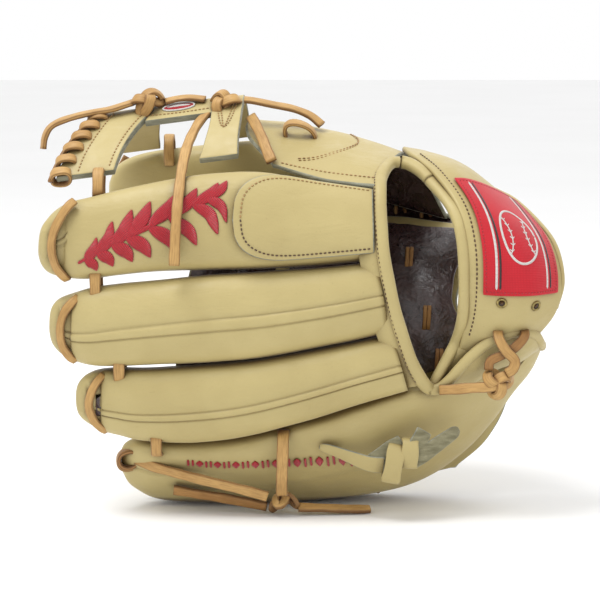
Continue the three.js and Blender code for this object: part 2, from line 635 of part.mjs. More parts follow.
piece("web_post_back", "web_back", LEATHER, sheet(postBack, WEB_T));

// Stalls, with the pad on the index finger.
const padLow = Math.PI * 0.79;
const padHigh = Math.PI * 0.17;
piece("index_finger_pad", "finger_side", LEATHER, sheet(patchOf(STALLS.index, 0.745, 0.985, padHigh, padLow, 6, 6), 2.4, -1.9));
piece("index_stall", "finger_side", LEATHER, stall(STALLS.index, 10, 0.22, 1, [30, 0, 0]));
piece("middle_stall", "finger_side", LEATHER, stall(STALLS.middle, 10, 0.22, 1, [30, 0, 0]));
piece("ring_stall", "finger_side", LEATHER, stall(STALLS.ring, 10, 0.22, 1, [30, 0, -2]));
const little = stall(STALLS.pinky, 15, 0.15, 0.6, [18, 22, 16]);
piece("pinky_stall", "pinky_side", LEATHER, little.trimByPlane([-1, 0, 0], -14));
piece("pinky_back_panel", "pinky_side", LEATHER, little.trimByPlane([1, 0, 0], 14 + GAP));
piece("thumb_stall", "thumb_side", LEATHER, stall(STALLS.thumb, 8, 0.24, 1, [20, 0, 0]));

// Strap and its wool.
piece("wrist_strap", "finger_side", LEATHER, sheet(strap(0, 1, 0, 1, 9, 4), 3.4));
piece("strap_wool_pad", "finger_side", FELT, sheet(strap(0.16, 0.9, 0.1, 0.9, 7, 3), 6, 5.4));

// Back of the thumb, palm leather, felt and lining.
piece("thumb_back_panel", "thumb_side", LEATHER, sheet(net(THUMB_BACK, span(0, 1, 7), span(0, 1, 5)), HIDE));
piece("palm_lining_centre", "finger_side", LINING, sheet(palm(3.35, 4.9, 3, 0.1, 0.97, 6), 1.4, -8.6));
piece("palm_lining_thumb", "thumb_side", LINING, sheet(palm(5.12, 7.3, 4, 0.16, 0.96, 6), 1.4, -8.6));
piece("pinky_heel_pad", "pinky_side", FELT, sheet(palm(1.9, 2.7, 2, 0.5, 0.86, 4), 4, -4.4));
piece("thumb_heel_pad", "thumb_side", FELT, sheet(palm(5.5, 7.2, 3, 0.45, 0.93, 4), 4, -4.4));
piece("palm_leather_pinky", "pinky_side", LEATHER, sheet(palm(0, 2.9, 6), HIDE));
piece("palm_leather_centre", "finger_side", LEATHER, sheet(palm(3.14, 4.94, 4), HIDE));
piece("palm_leather_thumb", "thumb_side", LEATHER, sheet(palm(5.06, 8, 6), HIDE));

// ---- moving bodies ----
function turn(through, axis, degrees) {
  const spin = new THREE.Matrix4().makeRotationAxis(new THREE.Vector3(...unit(axis)), radians(degrees));
  const there = new THREE.Matrix4().makeTranslation(...through);
  const back = new THREE.Matrix4().makeTranslation(...mul(through, -1));
  return there.multiply(spin).multiply(back);
}
function placeOf(body, thumb, pinky) {
  if (body === "thumb_side") return turn(CREASE, ALONG, thumb);
  const rise = turn(WEB_EDGE, ALONG, RISE * thumb);
  if (body === "web_front") return rise;
  if (body === "web_back") return rise.multiply(turn(WEB_FOLD, ALONG, FOLD * thumb));
  if (body === "pinky_side") return turn(PINKY_AT, PINKY_ALONG, pinky);
  return new THREE.Matrix4();
}
const TURNS = 11; // steps of each joint that pieces are kept clear at
const STATES = [[0, 0], [THUMB_OPEN, 0]].concat(
  span(1, TURNS, TURNS - 1).map((k) => [(THUMB_SHUT * k) / TURNS, (PINKY_SHUT * k) / TURNS]),
);

// The solid, swollen by a clearance along its vertex normals.
function swell(raw, by) {
  const mesh = raw.getMesh();
  const p = mesh.vertProperties;
  const step = mesh.numProp;
  const normals = new Float64Array(p.length);
  const read = (i) => [p[i * step], p[i * step + 1], p[i * step + 2]];
  for (let k = 0; k < mesh.triVerts.length; k += 3) {
    const [a, b, c] = mesh.triVerts.slice(k, k + 3);
    const face = cross(sub(read(b), read(a)), sub(read(c), read(a)));
    for (const v of [a, b, c]) {
      for (let d = 0; d < 3; d++) normals[v * 3 + d] += face[d];
    }
  }
  const verts = [];
  for (let i = 0; i < p.length / step; i++) {
    const n = unit([...normals.slice(i * 3, i * 3 + 3)]);
    verts.push(add(read(i), mul(n, by)));
  }
  const grown = new wasm.Mesh({
    numProp: 3,
    vertProperties: new Float32Array(verts.flat()),
    triVerts: mesh.triVerts,
  });
  return new wasm.Manifold(grown);
}
// The outer skin of the largest body, without offcuts or closed hollows.
function outerShell(made) {
  const { vertProperties, triVerts, numVert } = made.getMesh();
  const group = Array.from({ length: numVert }, (_, i) => i);
  const root = (i) => {
    while (group[i] !== i) i = group[i];
    return i;
  };
  for (let k = 0; k < triVerts.length; k += 3) {
    const a = root(triVerts[k]);
    group[root(triVerts[k + 1])] = a;
    group[root(triVerts[k + 2])] = a;
  }
  const at = (i) => [...vertProperties.slice(i * 3, i * 3 + 3)];
  const shells = new Map();
  for (let k = 0; k < triVerts.length; k += 3) {
    const tri = [...triVerts.slice(k, k + 3)];
    const key = root(tri[0]);
    if (!shells.has(key)) shells.set(key, { volume: 0, tris: [] });
    const shell = shells.get(key);
    const [a, b, c] = tri.map(at);
    shell.volume += dot(a, cross(b, c));
    shell.tris.push(tri);
  }
  const kept = [...shells.values()].reduce((a, b) => (b.volume > a.volume ? b : a));
  const used = [...new Set(kept.tris.flat())];
  const index = new Map(used.map((v, i) => [v, i]));
  return solid(used.map(at), kept.tris.map((tri) => tri.map((v) => index.get(v))));
}
const touches = (a, b) => {
  const p = a.boundingBox();
  const q = b.boundingBox();
  return [0, 1, 2].every((i) => p.min[i] < q.max[i] && q.min[i] < p.max[i]);
};

// Each piece makes room for the ones listed before it, at rest and as the joints turn.
const group = new THREE.Group();
group.name = "baseball_glove";
const grown = pieces.map((item) => swell(item.raw, GAP));
const roomy = pieces.map((item) => swell(item.raw, GAP * 1.5)); // between pieces that move
const finished = [];
pieces.forEach((item, i) => {
  let body = item.raw;
  for (let j = 0; j < i; j++) {
    const other = pieces[j];
    const states = other.body === item.body ? [[0, 0]] : STATES;
    const used = new Set();
    for (const [thumb, pinky] of states) {
      const mine = placeOf(item.body, thumb, pinky).invert();
      const move = mine.multiply(placeOf(other.body, thumb, pinky));
      const key = move.elements.map((v) => v.toFixed(3)).join();
      if (used.has(key)) continue;
      used.add(key);
      const room = other.body === item.body ? grown[j] : roomy[j];
      const cutter = room.transform(move.elements);
      if (touches(body, cutter)) body = body.subtract(cutter);
    }
  }
  body = outerShell(body.simplify(0.08));
  for (const done of finished) {
    if (touches(body, done) && body.intersect(done).volume() > 0.001) {
      body = outerShell(body.subtract(swell(done, GAP / 2)).subtract(done));
    }
  }
  finished.push(body);
  const mesh = body.getMesh();
  const geometry = new THREE.BufferGeometry();
  geometry.setAttribute("position", new THREE.BufferAttribute(mesh.vertProperties, 3));
  geometry.setIndex(new THREE.BufferAttribute(mesh.triVerts, 1));
  geometry.translate(-ORIGIN[0], -ORIGIN[1], -ORIGIN[2]);
  geometry.computeVertexNormals();
  const { colour, rough, metal = 0 } = item.look;
  const material = new THREE.MeshStandardMaterial({ color: colour, roughness: rough, metalness: metal });
  const made = new THREE.Mesh(geometry, material);
  made.name = item.name;
  group.add(made);
});

export default group;
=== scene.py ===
"""Baseball glove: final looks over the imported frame. Lengths are written in millimetres in the part's own
layout and turned into metres in the row frame by place()."""
import math

import bpy
import numpy as np
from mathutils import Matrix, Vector, noise


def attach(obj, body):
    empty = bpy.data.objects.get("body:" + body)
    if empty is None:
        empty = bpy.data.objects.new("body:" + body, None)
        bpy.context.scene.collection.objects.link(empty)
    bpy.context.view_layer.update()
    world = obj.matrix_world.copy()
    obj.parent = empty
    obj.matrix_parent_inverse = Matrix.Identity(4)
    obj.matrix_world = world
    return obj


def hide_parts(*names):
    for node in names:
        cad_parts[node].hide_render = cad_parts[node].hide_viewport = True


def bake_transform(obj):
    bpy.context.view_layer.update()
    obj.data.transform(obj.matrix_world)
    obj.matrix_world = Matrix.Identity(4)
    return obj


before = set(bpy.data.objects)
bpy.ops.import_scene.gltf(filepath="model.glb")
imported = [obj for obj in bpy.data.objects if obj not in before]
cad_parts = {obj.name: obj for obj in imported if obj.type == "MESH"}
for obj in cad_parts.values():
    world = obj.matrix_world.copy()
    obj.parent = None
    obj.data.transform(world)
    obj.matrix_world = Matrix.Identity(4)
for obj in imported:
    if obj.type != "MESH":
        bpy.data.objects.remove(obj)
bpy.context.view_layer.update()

ORIGIN = np.array([0.9, 69.2, 0.0])  # the row frame's origin in the part's layout, mm
PI = math.pi


# ---------------------------------------------------------------- numbers
def place(points):
    """Layout millimetres to row-frame metres."""
    return (np.asarray(points, float) - ORIGIN) / 1000.0


def arr(*values):
    """An array of floats from its rows or numbers."""
    return np.array(values, float)


def unit(v):
    """Vectors of length one, along the last axis."""
    v = np.asarray(v, float)
    length = np.linalg.norm(v, axis=-1, keepdims=True)
    return v / np.maximum(length, 1e-9)


def smooth(rows, t):
    """Smooth curve through rows, evenly spaced in t from 0 to 1. t may be an array."""
    rows = np.asarray(rows, float)
    t = np.clip(np.asarray(t, float), 0, 1)
    last = len(rows) - 1
    u = t * last
    i = np.minimum(np.floor(u).astype(int), last - 1)
    f = (u - i)[..., None]
    ext = np.concatenate([[2 * rows[0] - rows[1]], rows, [2 * rows[-1] - rows[-2]]])
    a, b, c, d = ext[i], ext[i + 1], ext[i + 2], ext[i + 3]
    m0 = (c - a) / 2
    m1 = (d - b) / 2
    h = f * f * (3 - 2 * f)
    return b + (c - b) * h + m0 * f * (1 - f) ** 2 - m1 * f * f * (1 - f)


def even(points, count):
    """Count + 1 points spaced evenly along a smooth curve through the given ones."""
    points = np.asarray(points, float)
    fine = smooth(points, np.linspace(0, 1, (len(points) - 1) * 24 + 1))
    step = np.linalg.norm(np.diff(fine, axis=0), axis=1)
    s = np.concatenate([[0], np.cumsum(step)])
    at = np.linspace(0, s[-1], count + 1)
    return np.stack([np.interp(at, s, fine[:, k]) for k in range(fine.shape[1])], axis=1)


def line_length(points):
    return float(np.linalg.norm(np.diff(np.asarray(points, float), axis=0), axis=1).sum())


def rough_field(points, scale, seed=0.0, octaves=3):
    """Smooth noise at each point, about -1 to 1."""
    shift = Vector((seed, seed * 1.7, -seed))
    return np.array([noise.fractal(Vector(p) * scale + shift, 1.0, 2.0, octaves) for p in points])


# ---------------------------------------------------------------- meshes
def make_mesh(name, verts, faces, uvs=None, materials=(), face_material=None):
    """A mesh object from layout points, one uv per point and a material number per face."""
    mesh = bpy.data.meshes.new(name)
    mesh.from_pydata(place(verts).tolist(), [], [list(map(int, f)) for f in faces])
    if uvs is not None:
        layer = mesh.uv_layers.new(name="UVMap")
        loops = np.zeros(len(mesh.loops), int)
        mesh.loops.foreach_get("vertex_index", loops)
        layer.data.foreach_set("uv", np.asarray(uvs, float)[loops].ravel())
    for m in materials:
        mesh.materials.append(m)
    if face_material is not None:
        mesh.polygons.foreach_set("material_index", np.asarray(face_material, int))
    mesh.polygons.foreach_set("use_smooth", [True] * len(mesh.polygons))
    mesh.update()
    made = bpy.data.objects.new(name, mesh)
    bpy.context.scene.collection.objects.link(made)
    return made


def dress(made, body, stands_for=()):
    """Puts a piece on its body, or bakes it in place when it is given more than one body, and hides the parts it
    stands for.
    """
    if isinstance(body, str):
        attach(made, body)
    else:
        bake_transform(made)
    if stands_for:
        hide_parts(*stands_for)
    return made


def ring_faces(rows, n, closed=False):
    """Quads between rings of n points each."""
    faces = []
    spans = rows if closed else rows - 1
    for i in range(spans):
        for j in range(n):
            after = ((i + 1) % rows) * n
            faces.append((i * n + j, i * n + (j + 1) % n, after + (j + 1) % n, after + j))
    return faces


def outward(verts, faces):
    """Turns the faces round if the closed mesh is inside out."""
    verts = np.asarray(verts, float)
    total = 0.0
    for f in faces:
        for k in range(1, len(f) - 1):
            total += verts[f[0]] @ np.cross(verts[f[k]], verts[f[k + 1]])
    return faces if total > 0 else [tuple(reversed(f)) for f in faces]


def skin(name, rings, closed=False, materials=(), uvs=None):
    """A closed body over rings of points, capped at both ends or closed on itself."""
    rings = np.asarray(rings, float)
    m, n, _ = rings.shape
    faces = ring_faces(m, n, closed)
    if not closed:
        faces.append(tuple(range(n - 1, -1, -1)))
        faces.append(tuple((m - 1) * n + j for j in range(n)))
    verts = rings.reshape(-1, 3)
    return make_mesh(name, verts, outward(verts, faces), uvs, materials)


def join(name, parts):
    """One object from several, which are taken away."""
    bpy.ops.object.select_all(action="DESELECT")
    for part in parts:
        part.select_set(True)
    bpy.context.view_layer.objects.active = parts[0]
    if len(parts) > 1:
        bpy.ops.object.join()
    made = bpy.context.view_layer.objects.active
    made.name = name
    made.data.name = name
    return made


# ---------------------------------------------------------------- strands
def band_section(w, t, n=16):
    """Rounded oblong, w across and t thick, listed as (across, up)."""
    out = []
    for k in range(n):
        a = (k + 0.5) / n * 2 * PI
        c, s = math.cos(a), math.sin(a)
        out.append((powered(c, 0.42) * w / 2, powered(s, 0.55) * t / 2))
    return out


def frames(path, faces):
    """Direction, up and across at each point. faces is one wanted side, one per point, or a few of them."""
    m = len(path)
    direction = unit(np.gradient(path, axis=0))
    faces = np.asarray(faces, float)
    if faces.ndim == 1:
        want = np.repeat(faces[None], m, axis=0)
    elif len(faces) == m:
        want = faces
    else:
        want = smooth(faces, np.linspace(0, 1, m))
    up = unit(want - direction * (want * direction).sum(1, keepdims=True))
    return direction, up, np.cross(direction, up)


def band_uvs(section, run, w):
    """The smooth side of a band has v from 0 to 1, and its flesh side lies past 1."""
    return [(run / 1000, (x / w + 0.5) + (1.2 if y < 0 else 0)) for x, y in section]


def powered(value, power):
    return math.copysign(abs(value) ** power, value)


def turn_along(points, outs):
    """Up and across at each point of a closed line whose outer side is outs."""
    direction = unit(np.roll(points, -1, axis=0) - np.roll(points, 1, axis=0))
    up = unit(outs - direction * (outs * direction).sum(1, keepdims=True))
    return up, np.cross(direction, up)


def strand(name, points, material, w=6.0, t=2.5, face=(0, -1, 0), seed=0.0, wear=0.05, step=1.6):
    """A lace or cord swept along a smooth path, a little uneven as cut rawhide is."""
    length = line_length(even(points, 60))
    count = max(6, int(round(length / step)))
    path = even(points, count)
    direction, up, wide = frames(path, face)
    section = band_section(w, t)
    s = np.linspace(0, length, len(path))
    rings = []
    uvs = []
    for i, p in enumerate(path):
        vary = 1 + wear * math.sin(s[i] * 0.31 + seed * 3) * math.sin(s[i] * 0.13 + seed)
        thin = 1 + 0.5 * wear * math.sin(s[i] * 0.53 + seed * 5)
        rings.append([p + wide[i] * x * vary + up[i] * y * thin for x, y in section])
        uvs += band_uvs(section, s[i], w)
    return skin(name, rings, False, [material], uvs)


def loop(name, centre, half1, half2, material, w=6.0, t=2.4, power=0.75, seed=0.0):
    """A closed turn of lace, squarish as when it is pulled tight."""
    half1, half2, centre = arr(*half1), arr(*half2), arr(*centre)
    points = []
    outs = []
    for k in range(28):
        a = k / 28 * 2 * PI
        c, s = math.cos(a), math.sin(a)
        points.append(centre + half1 * powered(c, power) + half2 * powered(s, power))
        outs.append(half1 * c / (half1 @ half1) ** 0.5 + half2 * s / (half2 @ half2) ** 0.5)
    points = np.array(points)
    up, across = turn_along(points, unit(np.array(outs)))
    section = band_section(w, t, 14)
    rings = []
    uvs = []
    run = np.concatenate([[0], np.cumsum(np.linalg.norm(np.diff(points, axis=0), axis=1))])
    for i, p in enumerate(points):
        vary = 1 + 0.05 * math.sin(i * 0.9 + seed * 4)
        rings.append([p + across[i] * x * vary + up[i] * y for x, y in section])
        uvs += band_uvs(section, run[i] + seed * 31, w)
    return skin(name, rings, True, [material], uvs)


# ---------------------------------------------------------------- sheets
def normals_of(grid):
    """Unit normals of a grid of points."""
    du = np.gradient(grid, axis=0)
    dv = np.gradient(grid, axis=1)
    return unit(np.cross(du, dv))


def sheet(name, grid, thick, front, lift=0.0, edge=0.9, back=None, rim=None, flip=False):
    """Leather with rounded edges over a grid of points. Its front is on the side of the grid's normal, or the
    other side when flipped, and lift moves it that way. Its materials are front, rim and back."""
    grid = np.asarray(grid, float)
    m, n, _ = grid.shape
    nrm = normals_of(grid) * (-1 if flip else 1)
    grid = grid + nrm * lift
    du = unit(np.gradient(grid, axis=0))
    dv = unit(np.gradient(grid, axis=1))
    edge = min(edge, thick / 2)
    profile = [-PI / 2 + PI * k / 6 for k in range(1, 6)]
    verts = []
    uvs = []
    faces = []
    kinds = []
    top = grid + nrm * thick / 2
    low = grid - nrm * thick / 2
    run_u = np.concatenate([[0], np.cumsum(np.linalg.norm(np.diff(grid[:, n // 2], axis=0), axis=1))])
    run_v = np.concatenate([[0], np.cumsum(np.linalg.norm(np.diff(grid[m // 2], axis=0), axis=1))])
    for side in (top, low):
        for i in range(m):
            for j in range(n):
                verts.append(side[i, j])
                uvs.append((run_u[i] / 1000, run_v[j] / 1000))

    def at(side, i, j):
        return side * m * n + i * n + j

    for i in range(m - 1):
        for j in range(n - 1):
            faces.append((at(0, i, j), at(0, i + 1, j), at(0, i + 1, j + 1), at(0, i, j + 1)))
            kinds.append(0)
            faces.append((at(1, i, j), at(1, i, j + 1), at(1, i + 1, j + 1), at(1, i + 1, j)))
            kinds.append(2)
    border = [(i, 0) for i in range(m)] + [(m - 1, j) for j in range(1, n)]
    border += [(i, n - 1) for i in range(m - 2, -1, -1)] + [(0, j) for j in range(n - 2, 0, -1)]
    outs = []
    for i, j in border:
        out = np.zeros(3)
        if j == 0:
            out -= dv[i, j]
        if j == n - 1:
            out += dv[i, j]
        if i == 0:
            out -= du[i, j]
        if i == m - 1:
            out += du[i, j]
        outs.append(unit(out))
    rows = []
    for a in profile:
        row = []
        for (i, j), out in zip(border, outs):
            row.append(len(verts))
            bulge = edge * math.cos(a)
            rise = math.sin(a) * thick / 2
            verts.append(grid[i, j] + nrm[i, j] * rise + out * bulge)
            uvs.append((run_u[i] / 1000, run_v[j] / 1000))
        rows.append(row)
    low_row = [at(1, i, j) for i, j in border]
    top_row = [at(0, i, j) for i, j in border]
    stack = [low_row] + rows + [top_row]
    for below, above in zip(stack[:-1], stack[1:]):
        for k in range(len(border)):
            k2 = (k + 1) % len(border)
            faces.append((below[k], below[k2], above[k2], above[k]))
            kinds.append(1)
    faces = outward(verts, faces)
    return make_mesh(name, np.array(verts), faces, uvs, [front, rim or front, back or front], kinds)


# ---------------------------------------------------------------- materials
def tone(r, g, b):
    """A screen colour as the linear one that a shader takes."""
    out = []
    for v in (r, g, b):
        c = v / 255
        out.append(c / 12.92 if c <= 0.04045 else ((c + 0.055) / 1.055) ** 2.4)
    return (*out, 1.0)


class Look:
    """A procedural material built node by node."""

    def __init__(self, name, rough=0.5, sheen=0.0, specular=0.5, coat=0.0):
        self.m = bpy.data.materials.new(name)
        self.m.use_nodes = True
        self.t = self.m.node_tree
        self.t.nodes.clear()
        out = self.t.nodes.new("ShaderNodeOutputMaterial")
        self.bsdf = self.t.nodes.new("ShaderNodeBsdfPrincipled")
        self.t.links.new(self.bsdf.outputs["BSDF"], out.inputs["Surface"])
        self.bsdf.inputs["Roughness"].default_value = rough
        self.bsdf.inputs["Specular IOR Level"].default_value = specular
        if sheen:
            self.bsdf.inputs["Sheen Weight"].default_value = sheen
            self.bsdf.inputs["Sheen Roughness"].default_value = 0.4
        if coat:
            self.bsdf.inputs["Coat Weight"].default_value = coat
            self.bsdf.inputs["Coat Roughness"].default_value = 0.25
        self.coords = self.t.nodes.new("ShaderNodeTexCoord")

    def node(self, kind, **values):
        """A node of a kind with some of its settings."""
        made = self.t.nodes.new(kind)
        for key, value in values.items():
            setattr(made, key, value)
        return made

    def link(self, source, socket):
        self.t.links.new(source, socket)

    def stretch(self, source, scale, turn=(0, 0, 0)):
        made = self.node("ShaderNodeMapping")
        made.inputs["Scale"].default_value = scale
        made.inputs["Rotation"].default_value = turn
        self.link(source, made.inputs["Vector"])
        return made.outputs["Vector"]

    def noise(self, scale, detail=4.0, rough=0.55, vector=None, distortion=0.0):
        made = self.node("ShaderNodeTexNoise")
        made.inputs["Scale"].default_value = scale
        made.inputs["Detail"].default_value = detail
        made.inputs["Roughness"].default_value = rough
        made.inputs["Distortion"].default_value = distortion
        self.link(vector or self.coords.outputs["Object"], made.inputs["Vector"])
        return made.outputs["Fac"]

    def cells(self, scale, feature="F1", vector=None):
        made = self.node("ShaderNodeTexVoronoi", feature=feature)
        made.inputs["Scale"].default_value = scale
        self.link(vector or self.coords.outputs["Object"], made.inputs["Vector"])
        return made.outputs["Distance"]

    def ramp(self, source, low, high, a=0.0, b=1.0):
        made = self.node("ShaderNodeMapRange")
        made.inputs["From Min"].default_value = low
        made.inputs["From Max"].default_value = high
        made.inputs["To Min"].default_value = a
        made.inputs["To Max"].default_value = b
        self.link(source, made.inputs["Value"])
        return made.outputs["Result"]

    def sums(self, operation, a, b):
        made = self.node("ShaderNodeMath", operation=operation)
        for k, v in enumerate((a, b)):
            if isinstance(v, (int, float)):
                made.inputs[k].default_value = v
            else:
                self.link(v, made.inputs[k])
        return made.outputs[0]

    def mix(self, factor, a, b, blend="MIX"):
        made = self.node("ShaderNodeMix", data_type="RGBA", blend_type=blend)
        colours = [s for s in made.inputs if s.type == "RGBA"]
        if isinstance(factor, (int, float)):
            made.inputs[0].default_value = factor
        else:
            self.link(factor, made.inputs[0])
        for socket, v in zip(colours, (a, b)):
            if isinstance(v, tuple):
                socket.default_value = v
            else:
                self.link(v, socket)
        return [s for s in made.outputs if s.type == "RGBA"][0]

    def shade(self, distance, low=0.0, high=1.0):
        """How open a point is, read from ambient occlusion to paint shade into a colour: 0 deep in a crease, 1 in the
        open.
        """
        made = self.node("ShaderNodeAmbientOcclusion", samples=6)
        made.inputs["Distance"].default_value = distance
        return self.ramp(made.outputs["AO"], low, high)

    def bump(self, height, strength, distance, under=None):
        made = self.node("ShaderNodeBump")
        made.inputs["Strength"].default_value = strength
        made.inputs["Distance"].default_value = distance
        self.link(height, made.inputs["Height"])
        if under is not None:
            self.link(under, made.inputs["Normal"])
        return made.outputs["Normal"]

    def finish(self, colour, normal=None, rough=None):
        self.link(colour, self.bsdf.inputs["Base Color"])
        if normal is not None:
            self.link(normal, self.bsdf.inputs["Normal"])
        if rough is not None:
            self.link(rough, self.bsdf.inputs["Roughness"])
        return self.m


def leather_look(name, light, dark, crease, rough=0.46, grain=1.0):
    """Steerhide: broad tone changes, pull folds, fine pores, dark specks, and painted shade that darkens it in its
    creases.
    """
    k = Look(name, rough, sheen=0.12, specular=0.42)
    wide = k.ramp(k.noise(11, 3), 0.32, 0.68)
    fine = k.ramp(k.noise(85, 5, 0.6), 0.3, 0.7)
    base = k.mix(wide, light, dark)
    base = k.mix(k.sums("MULTIPLY", fine, 0.22), base, dark)
    specks = k.ramp(k.noise(900, 2), 0.66, 0.8, 0.0, 0.22)
    base = k.mix(specks, base, crease)
    # painted shade: the crease colour is mixed in where ambient occlusion finds the leather closed in, in creases and
    # between parts
    base = k.mix(k.shade(0.006, 0.95, 0.35), base, crease)
    pores = k.cells(850)
    pebble = k.sums("ADD", k.sums("MULTIPLY", pores, 0.5), k.noise(1700, 3))
    folds = k.noise(48, 4, 0.55, k.stretch(k.coords.outputs["Object"], (0.55, 1.0, 1.6)), 0.8)
    n = k.bump(folds, 0.22, 0.0035)
    n = k.bump(pebble, 0.2 * grain, 0.00035, n)
    r = k.ramp(k.sums("ADD", fine, k.noise(260, 3)), 0.4, 1.5, rough - 0.07, rough + 0.12)
    return k.finish(base, n, r)


def lace_look(name, light, dark, edge):
    """Rawhide lace: fibres along its run, darker cut edges, and painted shade where it is closed in."""
    k = Look(name, 0.52, sheen=0.1, specular=0.4)
    uv = k.coords.outputs["UV"]
    fibres = k.noise(1.0, 5, 0.65, k.stretch(uv, (150, 9, 1)))
    wide = k.ramp(k.noise(42, 3), 0.3, 0.7)
    base = k.mix(wide, light, dark)
    base = k.mix(k.ramp(fibres, 0.42, 0.75, 0.0, 0.5), base, edge)
    split = k.node("ShaderNodeSeparateXYZ")
    k.link(uv, split.inputs[0])
    off = k.sums("ABSOLUTE", k.sums("SUBTRACT", split.outputs["Y"], 0.5), 0)
    rim = k.ramp(off, 0.36, 0.5, 0.0, 0.75)
    base = k.mix(rim, base, edge)
    # painted shade: the edge colour is mixed in where ambient occlusion finds the lace closed in
    base = k.mix(k.shade(0.005, 0.9, 0.3), base, edge)
    n = k.bump(fibres, 0.35, 0.0003)
    n = k.bump(k.noise(1500, 3), 0.2, 0.0002, n)
    return k.finish(base, n, k.ramp(fibres, 0.3, 0.7, 0.42, 0.66))


def raw_look(name, light, dark):
    """The fibrous flesh side and cut edge of leather."""
    k = Look(name, 0.85, sheen=0.3, specular=0.25)
    fuzz = k.noise(700, 6, 0.7)
    layers = k.noise(130, 4, 0.6, k.stretch(k.coords.outputs["Object"], (0.3, 1.5, 2.5)))
    base = k.mix(k.ramp(layers, 0.35, 0.65), light, dark)
    base = k.mix(k.ramp(fuzz, 0.4, 0.8, 0.0, 0.5), base, dark)
    n = k.bump(fuzz, 0.55, 0.0005)
    n = k.bump(layers, 0.3, 0.0008, n)
    return k.finish(base, n)


def lining_look(name):
    """Worn glossy lining leather with fine cracks."""
    k = Look(name, 0.3, specular=0.6, coat=0.25)
    worn = k.ramp(k.noise(28, 5, 0.6, None, 0.6), 0.42, 0.72)
    base = k.mix(worn, tone(62, 44, 44), tone(104, 84, 84))
    cracks = k.cells(330)
    base = k.mix(k.ramp(cracks, 0.35, 0.75, 0.0, 0.35), base, tone(30, 20, 20))
    n = k.bump(k.noise(70, 5, 0.6, None, 1.0), 0.5, 0.003)
    n = k.bump(cracks, 0.4, 0.0004, n)
    return k.finish(base, n, k.ramp(worn, 0, 1, 0.24, 0.42))


def fuzzy_look(name, light, dark, size=500):
    """Wool or felt: clumps and fine hair."""
    k = Look(name, 0.95, sheen=0.8, specular=0.15)
    clumps = k.noise(size * 0.35, 4, 0.6)
    hair = k.noise(size * 2.2, 4, 0.75, k.stretch(k.coords.outputs["Object"], (1.0, 1.0, 0.35)))
    base = k.mix(k.ramp(clumps, 0.35, 0.65), light, dark)
    base = k.mix(k.ramp(hair, 0.45, 0.8, 0.0, 0.5), base, dark)
    n = k.bump(clumps, 0.9, 0.002)
    n = k.bump(hair, 0.8, 0.0007, n)
    return k.finish(base, n)


def thread_look(name, colour, dark, rough=0.45):
    """Twisted sewing thread, with painted shade where it sinks into the leather."""
    k = Look(name, rough, sheen=0.25, specular=0.45)
    twist = k.noise(1900, 3, 0.6)
    base = k.mix(k.ramp(twist, 0.35, 0.7), colour, dark)
    # painted shade: the dark colour is mixed in where ambient occlusion finds the thread close to the leather
    base = k.mix(k.shade(0.0015, 0.8, 0.3), base, dark)
    return k.finish(base, k.bump(twist, 0.5, 0.0003))


def satin_look(name, colour, dark):
    """Satin stitch: tight rows of thread laid across each shape."""
    k = Look(name, 0.4, sheen=0.3, specular=0.5)
    uv = k.coords.outputs["UV"]
    rows = k.noise(1.0, 2, 0.5, k.stretch(uv, (2600, 1.6, 1)))
    waves = k.node("ShaderNodeTexWave", wave_type="BANDS", bands_direction="X")
    waves.inputs["Scale"].default_value = 420
    waves.inputs["Distortion"].default_value = 0.6
    waves.inputs["Detail"].default_value = 1.0
    k.link(uv, waves.inputs["Vector"])
    line = waves.outputs["Fac"]
    base = k.mix(k.ramp(line, 0.15, 0.8), dark, colour)
    base = k.mix(k.ramp(rows, 0.45, 0.75, 0.0, 0.35), base, dark)
    n = k.bump(line, 0.75, 0.0004)
    return k.finish(base, k.bump(rows, 0.3, 0.0002, n))


def woven_look(name, colour, dark):
    """A close plain weave."""
    k = Look(name, 0.62, sheen=0.25, specular=0.35)
    uv = k.coords.outputs["UV"]
    warp = k.node("ShaderNodeTexWave", wave_type="BANDS", bands_direction="X")
    weft = k.node("ShaderNodeTexWave", wave_type="BANDS", bands_direction="Y")
    for wave in (warp, weft):
        wave.inputs["Scale"].default_value = 330
        wave.inputs["Distortion"].default_value = 0.4
        k.link(uv, wave.inputs["Vector"])
    weave = k.sums("MULTIPLY", warp.outputs["Fac"], weft.outputs["Fac"])
    base = k.mix(k.ramp(weave, 0.1, 0.8, 0.35, 0.0), colour, dark)
    base = k.mix(k.ramp(k.noise(60, 4), 0.4, 0.75, 0.0, 0.25), base, dark)
    return k.finish(base, k.bump(weave, 0.5, 0.0003))


def metal_look(name, colour, dark):
    """Metal with tarnish in patches."""
    k = Look(name, 0.36)
    k.bsdf.inputs["Metallic"].default_value = 1.0
    tarnish = k.noise(420, 5, 0.65)
    base = k.mix(k.ramp(tarnish, 0.35, 0.75), colour, dark)
    return k.finish(base, k.bump(k.noise(900, 3), 0.15, 0.0002), k.ramp(tarnish, 0.3, 0.7, 0.3, 0.55))


# The third colour of each leather is used for its dark specks and also as painted shade in its creases.
LEATHER = leather_look("cream_leather", tone(187, 171, 117), tone(170, 153, 101), tone(110, 89, 48))
PALM_LEATHER = leather_look("palm_leather", tone(184, 168, 115), tone(166, 148, 98), tone(106, 85, 46), 0.5, 1.3)
